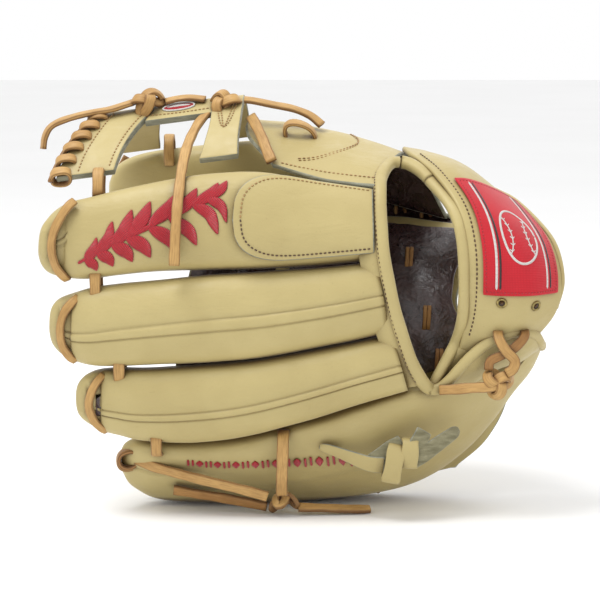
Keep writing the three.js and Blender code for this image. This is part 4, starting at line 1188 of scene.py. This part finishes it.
sew(thumb_back, [(0.05, 0.1), (0.055, 0.4), (0.055, 0.7), (0.055, 0.97)], THUMB_BEND, TAN_THREAD, 1.5, 2.6, 0.4, 100)
for gap in (0.0, 0.018):
    sew(thumb_back, [(0.12 + gap, 0.3), (0.16 + gap, 0.5), (0.24 + gap, 0.66), (0.34 + gap, 0.74), (0.42 + gap, 0.74),
                     (0.5 + gap, 0.68)], THUMB_BEND, TAN_THREAD, 1.5, 2.6, 0.36, 120)

# the side of the thumb between its back panel and the palm
SIDE = [[[14, 131, 186], [30, 133.5, 181], [52, 131.5, 175], [74, 124, 169], [91, 115, 166]],
        [[2, 133, 172], [28, 136, 172], [54, 134, 169], [76, 127, 165.5], [95, 115.5, 163]],
        [[-8, 127, 151], [20, 128, 157.5], [44, 126.5, 162], [72, 120, 162], [98, 110, 159]]]
side_grid = grid_of(net_surface(SIDE, (0, 1, 0)), np.linspace(0, 1, 24), np.linspace(0, 1, 60))
side_flip = (normals_of(side_grid)[12, 30] * arr(0, 1, 0)).sum() < 0
made = sheet("thumb_side_strip_visual", side_grid, 2.4, PALM_LEATHER, 0.0, 1.1, LINING, RAW, flip=side_flip)
dress(made, "thumb_side")

# ---------------------------------------------------------------- web
def web_line(x, v, bulge=2.6, back=False):
    """Points of the web's front or rear half: v from the edge to the fold, or from the fold down behind."""
    x = np.asarray(x, float)
    v = np.asarray(v, float)
    d = x + 60
    edge = np.stack([x, 30.2 - 0.02 * d, 204.6 + 0.131 * d], -1)
    top = np.stack([x, 70 - 0.02 * d, 238 + 0.131 * d], -1)
    far = np.stack([x, 113.5 - 0.02 * d, 211.6 + 0.131 * d], -1)
    a, b = (top, far) if back else (edge, top)
    p = a * (1 - v[..., None]) + b * v[..., None]
    p[..., 2] += np.sin(PI * v) * bulge
    return p


def web_panel(left, right, back=False):
    """Surface of a web bar: u from its lower to its upper end, v across."""
    def point(u, v):
        u, v = np.broadcast_arrays(np.asarray(u, float), np.asarray(v, float))
        shape = u.shape
        x0 = smooth(np.array(left, float)[:, None], u.ravel())[:, 0].reshape(shape)
        x1 = smooth(np.array(right, float)[:, None], u.ravel())[:, 0].reshape(shape)
        return web_line(x0 * (1 - v) + x1 * v, u, 2.6, back)
    toward = (0, 0.7, 1) if back else (0, -0.7, 1)
    return Surface(point, arr(*toward))


def web_strip(name, front_left, front_right, back_left, back_right, f_range, b_range, replaced):
    """A bar of the web in one piece over its fold, two layers with raw edges."""
    fu = np.linspace(*f_range, 40)
    bu = np.linspace(*b_range, 36)
    front = grid_of(web_panel(front_left, front_right), fu, np.linspace(0, 1, 30))
    rear = grid_of(web_panel(back_left, back_right, True), bu, np.linspace(0, 1, 30))
    grid = np.concatenate([front, rear])
    # soften the fold so that the leather rolls over it
    for _ in range(10):
        mid = len(fu)
        rows = slice(mid - 5, mid + 5)
        grid[rows] = (grid[mid - 6:mid + 4] + grid[rows] * 2 + grid[mid - 4:mid + 6]) / 4
    nrm = normals_of(grid)
    sign = float(np.sign((nrm[10, 15] * arr(0, -0.7, 1)).sum()))
    made = sheet(name, grid, 4.4, LEATHER, 0.0, 0.5, PALM_LEATHER, RAW, flip=sign < 0)
    dress(made, WEB_BEND, replaced)
    return made


web_strip("web_tip_bar_visual", TIP_LEFT, TIP_RIGHT,
          [-118, -118.5, -117, -115, -115], [-84, -84, -85, -86, -86], (0.03, 0.975), (0.03, 0.97), ("web_tip_bar_front", "web_tip_bar_back"))
web_strip("web_base_bar_visual", BASE_LEFT, BASE_RIGHT, [-51.5, -52, -53, -54], [-33, -32, -31, -30],
          (0.03, 0.975), (0.03, 0.97), ("web_base_bar_front", "web_base_bar_back"))
POST_LEFT = [-103, -98.6, -91.4, -83.6]
POST_RIGHT = [-58, -53, -52, -52]
front_post = web_panel(POST_LEFT, POST_RIGHT)
web_strip("web_post_visual", POST_LEFT, POST_RIGHT, [-83.6, -83.8, -85, -86], [-52, -53, -53, -53],
          (0.7, 0.975), (0.03, 0.3), ("web_post_front", "web_post_back"))
tip_face = web_panel(TIP_LEFT, TIP_RIGHT)
base_face = web_panel(BASE_LEFT, BASE_RIGHT)
sew(tip_face, [(0.06, 0.36), (0.3, 0.35), (0.6, 0.33), (0.94, 0.3)], WEB_BEND, TAN_THREAD, 2.3, 2.4, 0.36, 90)
sew(tip_face, [(0.08, 0.9), (0.4, 0.9), (0.9, 0.9)], WEB_BEND, TAN_THREAD, 2.3, 2.4, 0.36, 90)
sew(front_post, [(0.78, 0.03), (0.77, 0.5), (0.78, 0.97)], WEB_BEND, TAN_THREAD, 2.3, 2.4, 0.36, 60)
for shift in (0.0, 0.1):
    sew(base_face, [(0.9, 0.12 + shift), (0.55, 0.3 + shift), (0.42, 0.5), (0.55, 0.7 - shift), (0.9, 0.88 - shift)],
        WEB_BEND, TAN_THREAD, 2.3, 2.2, 0.36, 90)

flush_threads()

# ---------------------------------------------------------------- palm
palm_surface = net_surface(PALM, (0, -1, 0))


def palm_part(name, a, b, replaced, body, v0=0.0, v1=1.0, lift=0.0, thick=2.8, face=PALM_LEATHER,
              back=LEATHER, rim=RAW, rows_n=60, cols=70, wrinkle=0.8):
    grid = grid_of(palm_surface, np.linspace(a / 8, b / 8, rows_n), np.linspace(v0, v1, cols))
    bumps = rough_field(grid.reshape(-1, 3) * 0.03, 1.0, 60.0 + a).reshape(grid.shape[:2])
    grid = grid + normals_of(grid) * (wrinkle * bumps)[..., None]
    made = sheet(name, grid, thick, face, lift, min(1.2, thick / 2), back, rim)
    dress(made, body, replaced)
    return made


LOW_BEND = ("finger_side", "pinky_side", (40, 60, 70), (40, 60, 40))
HIGH_BEND = ("finger_side", "thumb_side", (60, 62, 108), (60, 66, 124))
palm_part("palm_lower_visual", 0, 4.05, ("palm_leather_pinky",), LOW_BEND)
palm_part("palm_upper_visual", 4.05, 8, ("palm_leather_centre", "palm_leather_thumb"),
          HIGH_BEND)
palm_part("palm_lining_visual", 3.35, 7.3, ("palm_lining_centre", "palm_lining_thumb"), HIGH_BEND,
          0.1, 0.97, -8.6, 1.4, LINING, LINING, LINING, 60, 60, 1.1)

# the palm leather's run onto the fronts of the stalls
ROOT_FRONT = [[-84, 60, 9], [-74, 59, 14], [-64, 48, 28], [-60, 29, 50], [-60, 25.5, 73], [-60, 24, 98],
              [-56, 24, 125], [-50, 24.5, 150], [-44, 26, 174]]
ROOT_BEND = ("finger_side", "thumb_side", (-40, 50, 100), (-40, 72, 118))
rim_points = palm_surface.at(np.linspace(0, 1, 9), np.zeros(9), 0.0)
root_rows = []
for near_palm, at_stall in zip(rim_points, arr(*ROOT_FRONT)):
    span = at_stall - near_palm
    root_rows.append([near_palm + arr(2.5, 0, 0), near_palm + span * arr(0.45, 0.1, 0.34),
                      near_palm + span * arr(0.86, 0.5, 0.7), at_stall, at_stall + arr(-11, -1.2, 0)])
root_net = net_surface(root_rows, (0, 1, 0))
for name, a, b, body in (("palm_root_lower", 0.0, 4.05, LOW_BEND),
                         ("palm_root_upper", 4.05, 8.0, ROOT_BEND)):
    grid = grid_of(root_net, np.linspace(a / 8, b / 8, 50), np.linspace(0, 1, 40))
    turned = normals_of(grid)[25, 10, 1] < 0
    made = sheet(name + "_visual", grid, 2.4, PALM_LEATHER, 0.0, 1.0, LINING, RAW, flip=turned)
    dress(made, body)

made = palm_part("pinky_heel_pad_visual", 1.9, 2.7, ("pinky_heel_pad",), "pinky_side", 0.5, 0.86, -4.4, 4.0,
                 FELT, FELT, FELT, 20, 20, 0.4)
made = palm_part("thumb_heel_pad_visual", 5.5, 7.2, ("thumb_heel_pad",), "thumb_side", 0.45, 0.93, -4.4, 4.0,
                 FELT, FELT, FELT, 24, 24, 0.4)


# ---------------------------------------------------------------- laces
def hard_knot(name, centre, first, second, depth, body, replaced, w=6.2, t=2.7, scale=0.92, turn=0.0):
    """An overhand knot pulled tight: a lace that crosses itself three times, over a core."""
    centre, first, second, depth = arr(*centre), arr(*first), arr(*second), arr(*depth)
    n = 84
    points = []
    for k in range(n):
        a = k / n * 2 * PI
        x = (math.sin(a + turn) + 1.55 * math.sin(2 * a + turn)) / 2.4
        y = (math.cos(a + turn) - 1.55 * math.cos(2 * a + turn)) / 2.4
        z = -math.sin(3 * a)
        points.append(centre + first * x * scale + second * y * scale + depth * z * 0.62)
    points = np.array(points)
    outs = unit(points - centre)
    direction = unit(np.roll(points, -1, axis=0) - np.roll(points, 1, axis=0))
    flat = unit(depth) * 0.9
    up = outs * 0.75 + flat
    up = unit(up - direction * (up * direction).sum(1, keepdims=True))
    wide = np.cross(direction, up)
    run = np.concatenate([[0], np.cumsum(np.linalg.norm(np.diff(points, axis=0), axis=1))])
    rings = []
    uvs = []
    section = band_section(w, t, 14)
    for i, p in enumerate(points):
        rings.append([p + wide[i] * x + up[i] * y for x, y in section])
        uvs += band_uvs(section, run[i], w)
    band = skin(name + "_band", rings, True, [LACE], uvs)
    core = []
    for i in range(9):
        b = -PI / 2 + PI * (i + 0.5) / 9
        core.append([centre + (first * math.cos(a) + second * math.sin(a)) * 0.55 * math.cos(b)
                     + depth * 0.6 * math.sin(b) for a in np.linspace(0, 2 * PI, 16, endpoint=False)])
    middle = skin(name + "_core", core, False, [LACE])
    dress(join(name, [band, middle]), body, replaced)


hard_knot("web_knot_visual", (-90.5, 65, 239), (9.6, 0, 2), (0, 5.0, 4.6), (0, -4.2, 4.6), "web_front",
          ("web_knot",), turn=0.4)
hard_knot("crotch_knot_visual", (-45, 62, 238), (9.2, 0, 3), (-2, 5.6, 5.6), (0, -4.6, 4.8), "web_front",
          ("crotch_knot",), turn=1.2)
hard_knot("pinky_edge_knot_visual", (-10, 18, 8.7), (8.4, 0, 1), (0, 5.2, -2), (0, 2.6, 5.6), "pinky_side",
          ("pinky_edge_knot",), w=4.8, turn=0.9)
hard_knot("wrist_knot_visual", (113, -2.5, 82), (7.6, 0, -1), (1, 1, 7.6), (0, -4.2, 0.5), "pinky_side",
          ("wrist_knot",), turn=0.2)
ring_turns = [
    loop("rp_turn_a", (-100.5, 28.4, 31), (6.2, 0.6, 1), (0, -1.2, 5.8), LACE, 5.6, 2.6, 0.9, 1.0),
    loop("rp_turn_b", (-100.5, 25.8, 31.4), (5.4, 0.4, 1.4), (-1.0, -1.0, 4.8), DARK_LACE, 4.6, 2.4, 0.9, 2.0),
]
made = join("ring_pinky_knot_visual", ring_turns)
dress(made, "pinky_side", ("ring_pinky_knot",))

# laces let into the fingertips
TIP_ROUTES = {
    "index": [[-131, 7.5, 185], [-134, 4.4, 182.6], [-138, 3, 177], [-142.5, 2.5, 168], [-144, 2.5, 158],
              [-142, 5, 148], [-138.2, 7.8, 142], [-136, 11, 139.6]],
    "middle": [[-129.6, 8, 129.6], [-133, 4.6, 127], [-137.5, 4.4, 121], [-140, 5, 112], [-139, 6.2, 102],
               [-135, 8.6, 95], [-132, 12, 92.2]],
    "ring": [[-116, 12, 84], [-119.4, 8.6, 80.6], [-122.5, 7.6, 75], [-124.5, 8.2, 66.5], [-122, 10.8, 57.5],
             [-117.6, 14, 52], [-115, 17.5, 49.8]],
}
for finger, route in TIP_ROUTES.items():
    route = [[x + 2.6, y + 1.4, z] for x, y, z in route]
    made = strand(f"{finger}_tip_lace_visual", route, LACE, 5.0, 2.4, (-0.35, -1, 0), seed=len(finger), wear=0.07)
    dress(made, "finger_side", (f"{finger}_tip_lace",))
made = strand("thumb_tip_lace_visual", [[-108, 142, 200], [-113, 140, 190], [-116, 139, 179], [-113, 143, 168],
                                        [-108, 146, 160]], LACE, 6, 2.5, (-0.4, 1, 0), seed=3)
dress(made, "thumb_side", ("thumb_tip_lace",))

# laces that hold neighbours together
for name, centre, half1, half2, body, seed in (
        ("index_middle_lace", (-117, 15, 137), (0, 0, 9.5), (0, -9, 0), "finger_side", 1),
        ("middle_ring_lace", (-104, 16, 88.4), (0, 0, 9), (0, -9, 0), "finger_side", 2),
        ("ring_pinky_lace", (-83, 17, 43.4), (0, 1.5, -7), (0, -9, 0), "pinky_side", 3),
        ("index_web_lace", (-116, 28, 192), (0, 4, 8), (0, -7, 4), "web_front", 4),
        ("thumb_web_lace", (-80, 113, 206.5), (0, -1, 8.5), (0, -7.5, -1), "thumb_side", 5)):
    made = loop(name + "_visual", centre, half1, half2, LACE, 6.4, 2.4, 0.75, seed)
    dress(made, body, (name,))

made = strand("pinky_cross_lace_visual",
              [[-9.5, 12, 51.5], [-9.8, 4.5, 47], [-10, 2.5, 38], [-10.4, 4.5, 28], [-10.6, 8.5, 19],
               [-10.5, 11.5, 13.6]], LACE, 6.8, 2.5, ((0, -1, 0.6), (0, -1, 0.1), (0, -1, -0.5)), seed=2)
dress(made, "pinky_side", ("pinky_cross_lace",))
made = strand("crotch_lace_front_visual",
              [[-29, 63, 230], [-26.5, 56, 226.5], [-22.5, 46, 219.3], [-19, 37, 211.4], [-16.5, 31, 206]],
              LACE, 6.4, 2.5, (-0.4, -0.8, 0.7), seed=6)
dress(made, ("finger_side", "thumb_side", (-17, 32, 207), (-27, 58, 227)), ("crotch_lace_front",))
made = strand("crotch_lace_top_visual",
              [[-37.5, 66.5, 240], [-28, 68, 239], [-16, 70, 236.5], [-4, 72, 234], [6, 72, 230], [13, 70, 224.5]],
              LACE, 6.2, 2.6, (0, -0.5, 1), seed=7)
dress(made, "web_front", ("crotch_lace_top",))
made = loop("crotch_lace_inner_visual", (0, 62, 219.5), (9, 1, -2.5), (0, -3, 6.5), LACE, 6.2, 2.4, 0.9, 8)
dress(made, "thumb_side", ("crotch_lace_inner",))
made = strand("web_post_lace_visual", [[-79.5, 66.5, 238.6], [-72, 67, 240.2], [-64, 67, 240.8], [-56, 66, 240]],
              LACE, 6, 2.4, (0, -0.4, 1), seed=9)
dress(made, "web_front", ("web_post_lace",))

# lacing bound over the outer edge of the web
parts = []
for i in range(6):
    v = 0.06 + i * 0.165
    x = float(smooth(np.array(TIP_LEFT, float)[:, None], v)[0])
    p = web_line(x, v) + arr(1.6, 0, 0)
    parts.append(loop(f"bound_{i}", p, (5.4, 0, 0.6), (0, -3.3, 3.8), LACE, 5.8, 2.4, 0.8, i))
run = [web_line(float(smooth(np.array(TIP_LEFT, float)[:, None], v)[0]), v) + arr(-3.4, 0, 0)
       for v in np.linspace(0, 1, 7)]
parts.append(strand("bound_run", run, DARK_LACE, 3.4, 2.2, (0, -1, 0.5)))
made = join("web_tip_binding_visual", parts)
dress(made, "web_front", ("web_tip_binding",))

# heel lacing along the lower edge, and along the far edge
HEEL_RUN = [[20, 63, 5.5], [34, 63, 6.5], [50, 62.5, 9], [66, 62, 14], [80, 61, 21], [94, 60, 31], [106, 59, 43]]
parts = [strand("heel_run", HEEL_RUN, DARK_LACE, 4, 2.4, (0, -1, 0))]
for k, v in enumerate(np.linspace(0.1, 0.92, 5)):
    p = smooth(HEEL_RUN, v)
    parts.append(loop(f"heel_turn_{k}", p + arr(0, 1, 1), (2.6, 0, 3.2), (0, 7.5, 1), LACE, 6, 2.4, 0.8, k))
made = join("heel_lace_visual", parts)
dress(made, "pinky_side", ("heel_lace",))
FAR_RUN = [[22, 134, 171], [38, 135, 169.5], [54, 133, 166.5], [70, 127.5, 163], [84, 120, 160]]
parts = [strand("far_run", FAR_RUN, DARK_LACE, 4, 2.4, (0, 1, 0))]
for k, v in enumerate(np.linspace(0.1, 0.9, 4)):
    parts.append(loop(f"far_turn_{k}", smooth(FAR_RUN, v), (3, 0, -0.4), (-0.5, 2.5, 7), LACE, 6, 2.4, 0.8, k))
made = join("thumb_edge_lace_visual", parts)
dress(made, "thumb_side", ("thumb_edge_lace",))

# wrist lacing
over = strand("wrist_over", [[113, 3, 112], [113.2, -3.4, 107.5], [117, -5.4, 101], [122, -5.4, 95.5],
                             [121, -5.8, 90.5], [117.6, -4.8, 88]], LACE, 6, 2.5, (0, -1, 0.15), seed=4)
under = strand("wrist_under", [[127.5, 10, 113], [128.2, 1.6, 108.6], [123, -2.4, 103], [116, -2.6, 98.5],
                               [108.6, -1.9, 94.6], [107.6, -1.6, 89.5]], DARK_LACE, 5.6, 2.4,
               ((0.2, -1, 0.2), (0, -1, 0)), seed=5)
made = join("wrist_lace_visual", [over, under])
dress(made, "pinky_side", ("wrist_lace",))

# lace stitches on the lining, seen through the opening: each lies where a line of sight meets the lining
EYE = arr(0, -1262, 307)
lined = grid_of(palm_surface, np.linspace(3.35 / 8, 7.3 / 8, 80), np.linspace(0.1, 0.97, 80))
lined = (lined - normals_of(lined) * 9.4).reshape(-1, 3)
for k, (x, z) in enumerate(((64, 147.5), (75, 113), (81.6, 86.6))):
    sight = unit(arr(x, 47.5, z) - EYE)
    off = lined - EYE
    miss = np.linalg.norm(off - np.outer(off @ sight, sight), axis=1)
    spot = lined[np.argmin(miss)]
    for q in range(2):
        made = loop(f"lining_stitch_{k}_{q}", spot + arr(2.4 * q - 1.2, -0.6, 0), (0.4, 0.3, 6.6), (0, -2.6, 0),
                    DARK_LACE, 2.4, 1.5, 0.8, k + q)
        dress(made, "finger_side" if k else "thumb_side")

# ---------------------------------------------------------------- leather bow
parts = [
    loop("bow_front", (53.8, 1.0, 34.4), (2.0, 0, 10.6), (0, -5.2, 0.4), LEATHER, 10.6, 2.2, 0.8, 1),
    loop("bow_side", (63.0, 1.0, 40.4), (0.4, 0, 7.9), (0, -4.6, 0), LEATHER, 9.6, 2.2, 0.8, 2),
]
made = join("pinky_loop_knot_visual", parts)
dress(made, "pinky_side", ("pinky_loop_knot",))


def strap_end(name, route, width, face, front, back, replaced=(), tip=0.6, round_end=True):
    """A strap of leather, smooth on one side and raw on the other, narrower towards its end."""
    points = even(route, 34)
    direction, up, wide = frames(points, face)
    t = np.linspace(0, 1, 35)
    half = width / 2 * (1 - (1 - tip) * t)
    if round_end:
        half = half * np.sqrt(np.clip(1 - np.clip((t - 0.88) / 0.13, 0, 1) ** 2.2, 0.02, 1))
    grid = np.stack([points + wide * (s * half)[:, None] + up * (0.5 * (1 - s * s) + 0.25 * np.sin(t * 9 + s))[:, None]
                     for s in np.linspace(-1, 1, 14)], axis=1)
    turned = (normals_of(grid)[17, 7] * up[17]).sum() < 0
    made = sheet(name, grid, 2.0, front, 0.0, 0.6, back, RAW, flip=turned)
    dress(made, "pinky_side", replaced)
    return made


LOOP_LEFT = [[48, 1.0, 33.4], [39, 1.8, 34.4], [29, 3.8, 37.6], [20, 5.8, 40.8], [12, 7.8, 42.8]]
LOOP_RIGHT = [[64, 0.6, 36.4], [71, 1.2, 40], [78, 3.2, 44.4], [85, 6.2, 48.8], [91, 9.6, 52.4]]
strap_end("pinky_loop_left_visual", LOOP_LEFT, 9.4, (0, -1, -0.25), LEATHER, FLESH,
          ("pinky_loop_left_end",), 0.42)
strap_end("pinky_loop_under", [[42, 2.6, 35.4], [47, 1.4, 39.4], [52, 1.0, 43.4], [58, 1.8, 46.6]],
          8.2, (0, -1, 0.1), FLESH, LEATHER, (), 0.9, False)
strap_end("pinky_loop_right_visual", LOOP_RIGHT, 9.8, (0.2, -1, 0), FLESH, LEATHER, (), 0.6)
strap_end("pinky_loop_flap", [[61, 1.4, 38], [65, -0.4, 43], [68.4, 0.0, 48], [71, 1.6, 53]],
          9.4, (0.45, -1, 0.1), FLESH, LEATHER, (), 0.95, False)

# ---------------------------------------------------------------- free lace ends
ENDS = {
    "web_lace_end": [[-99, 66, 238], [-112, 65, 234], [-126, 64, 231.5], [-139, 63, 228], [-147, 62, 224],
                     [-150.5, 61, 218], [-151.5, 60, 211]],
    "crotch_lace_end": [[-53, 62, 233.5], [-59.5, 50, 226.5], [-65, 34, 215], [-67.5, 17, 202.5], [-69, 2, 187],
                        [-70, -5.5, 172], [-70.6, -7.5, 159], [-71, -8, 150]],
    "pinky_lace_span": [[-96, 26, 31.5], [-86, 20.5, 28.5], [-74, 16, 26], [-58, 12, 22.6], [-44, 10, 19.6],
                        [-30, 10, 16], [-19, 11, 12.6]],
    "pinky_lace_short_end": [[-19.5, 19.5, 4.6], [-34, 22, 7], [-48, 22.5, 9.6], [-62, 23.5, 11.6], [-74, 25, 13.4]],
    "pinky_lace_long_end": [[-1, 17, 4.8], [9, 17.5, 4.4], [20, 18.5, 3.8], [31, 20, 3.1], [41, 22, 2.6]],
    "wrist_lace_end": [[114, -4.4, 80.4], [106, -3.9, 79.7], [98, -3, 79.2], [90, -1.5, 78.2], [84, 0, 77.6],
                       [80, 1.1, 77.3]],
}
END_FACES = {
    "web_lace_end": ((0, -0.3, 1), (-0.3, -0.3, 1), (-1, -0.4, 0.3)),
    "crotch_lace_end": ((-0.5, -0.7, 0.6), (0, -0.8, 0.6), (0, -1, 0.1)),
    "pinky_lace_span": ((0, -1, 0.1), (0, -1, -0.3), (0, -1, 0)),
    "pinky_lace_short_end": ((0, -1, -0.4), (0, -1, -0.4)),
    "pinky_lace_long_end": ((0, -0.6, 1), (0, -0.4, 1)),
    "wrist_lace_end": ((0, -1, 0.2), (0, -1, 0.2)),
}
# the lace end that lies on the index finger is listed with both the finger and the web
FINGER_SLIDE = ("finger_side", "web_front", (-62, 40, 212), (-53, 60, 232))
for name, route in ENDS.items():
    body = "web_front" if name[:3] in ("web", "cro") else "pinky_side"
    look = DARK_LACE if name == "pinky_lace_short_end" else LACE
    fine = even(route, 400)
    points = fine[:: max(1, int(400 / (line_length(fine) / 1.5)))]
    made = strand(name + "_visual", route, look, 6.0, 3.0, END_FACES[name], seed=len(name), wear=0.08)
    dress(made, FINGER_SLIDE if name == "crotch_lace_end" else body, (name,))

# ---------------------------------------------------------------- embroidery
def finger_spot(t, degrees):
    return (t, math.radians(degrees))


def satin(surface, name, body, line, width, count=46):
    """Raised satin stitch in the red thread."""
    dress(seam_cord(surface, line, name, RED_THREAD, width, 0.55, 0.25, count), body)


# a sprig of leaves on the index finger
stem = [finger_spot(0.31, 122), finger_spot(0.38, 110), finger_spot(0.46, 100), finger_spot(0.55, 90),
        finger_spot(0.63, 76), finger_spot(0.675, 62)]
satin(index_surface, "sprig_stem", "finger_side", stem, lambda t: 1.6 + 1.2 * math.sin(PI * t), count=90)
line = smooth(np.array(stem), np.linspace(0, 1, 40))
for k, s in enumerate(np.linspace(0.1, 0.92, 8)):
    t0, a0 = line[int(s * 39)]
    for side in (-1, 1):
        size = 0.75 + 0.45 * math.sin(PI * s)
        tip = (t0 + 0.052 * size, a0 + side * 0.50 * size)
        mid = (t0 + 0.036 * size, a0 + side * 0.20 * size)
        satin(index_surface, f"sprig_leaf_{k}_{side + 1}", "finger_side", [(t0, a0), mid, tip],
              lambda f, size=size: (0.7 + 6.4 * size * math.sin(PI * min(1, f ** 0.8)) ** 0.9), count=34)

# a row of small shapes along the little finger
for k in range(17):
    f = k / 16
    t = 0.262 + 0.222 * f
    angle = 42 + 22 * f + 17 * f * f
    if k % 2:
        line = [finger_spot(t, angle - 6.4), finger_spot(t, angle), finger_spot(t, angle + 6.4)]
        satin(pinky_surface, f"band_{k:02d}", "pinky_side", line, lambda f: 0.6 + 3.9 * math.sin(PI * f), count=20)
    else:
        for shift in (-0.0036, 0.0036):
            line = [finger_spot(t + shift, angle - 6.4), finger_spot(t + shift, angle),
                    finger_spot(t + shift, angle + 6.4)]
            satin(pinky_surface, f"band_{k:02d}_{int(shift > 0)}", "pinky_side", line, 1.4, count=16)

# a small oval on the web's post
oval = [(0.885 + 0.065 * math.sin(a), 0.44 + 0.27 * math.cos(a)) for a in np.linspace(0, 2 * PI, 17)]
line = smooth(np.array(oval), np.linspace(0, 1, 60))
rim = front_post.at(line[:-1, 0], line[:-1, 1], 2.3)
mid = front_post.at(np.array([0.885]), np.array([0.44]), 2.3)[0]
nrm = front_post.normal(np.array([0.885]), np.array([0.44]))[0]
discs = [[mid + (p - mid) * f + nrm * h for p in rim] for f, h in
         ((1.0, -0.3), (1.0, 0.35), (0.97, 0.55), (0.6, 0.6), (0.2, 0.62))]
uv = np.array([((p - mid)[0] / 1000, (p - mid)[2] / 1000) for ring in discs for p in ring])
made = skin("post_oval", discs, False, [RED_THREAD], uv)
dress(made, WEB_BEND)
made = seam_cord(front_post, [tuple(p) for p in oval], "post_oval_rim", WHITE_THREAD, 1.2, 0.6, 2.5, 80)
dress(made, WEB_BEND)
made = seam_cord(front_post, [(0.885, 0.24), (0.9, 0.44), (0.885, 0.64)], "post_oval_bar", WHITE_THREAD,
                 lambda f: 0.5 + 1.6 * math.sin(PI * f), 0.5, 2.85, 30)
dress(made, WEB_BEND)


# ---------------------------------------------------------------- stage
def light(name, where, target, size, power):
    """A round soft light over the stage, in metres and watts."""
    data = bpy.data.lights.new(name, "AREA")
    data.shape = "DISK"
    data.size = size
    data.energy = power
    made = bpy.data.objects.new(name, data)
    made.location = where
    made.rotation_euler = (Vector(target) - Vector(where)).to_track_quat("-Z", "Y").to_euler()
    bpy.context.scene.collection.objects.link(made)


light("key", (-0.42, -0.28, 1.45), (0, 0, 0.12), 0.7, 13.0)
light("fill", (1.0, -1.1, 0.55), (0, 0, 0.1), 1.2, 0.4)
light("rim", (0.3, 0.9, 0.9), (0, 0, 0.12), 0.8, 1.5)

floor_mesh = bpy.data.meshes.new("floor")
floor_mesh.from_pydata([(-6, -6, 0), (6, -6, 0), (6, 6, 0), (-6, 6, 0)], [], [(0, 1, 2, 3)])
floor = bpy.data.objects.new("floor", floor_mesh)
bpy.context.scene.collection.objects.link(floor)
k = Look("pale_floor", 0.8, specular=0.1)
pale = k.mix(k.ramp(k.noise(3, 3), 0.3, 0.7), (0.9, 0.9, 0.9, 1), (0.92, 0.92, 0.92, 1))
floor_mesh.materials.append(k.finish(pale))

world = bpy.data.worlds.new("World")
bpy.context.scene.world = world
world.use_nodes = True
world.node_tree.nodes["Background"].inputs["Color"].default_value = (1, 1, 1, 1)
world.node_tree.nodes["Background"].inputs["Strength"].default_value = 1.0

data = bpy.data.cameras.new("camera")
data.lens = 134.5
data.sensor_width = 36
camera = bpy.data.objects.new("camera", data)
camera.location = (-0.0009, -1.3315, 0.3068)
aim = Vector((-0.0009, -0.0442, 0.1259))
camera.rotation_euler = (aim - Vector(camera.location)).to_track_quat("-Z", "Y").to_euler()
bpy.context.scene.collection.objects.link(camera)
bpy.context.scene.camera = camera
bpy.context.scene.view_settings.view_transform = "Standard"
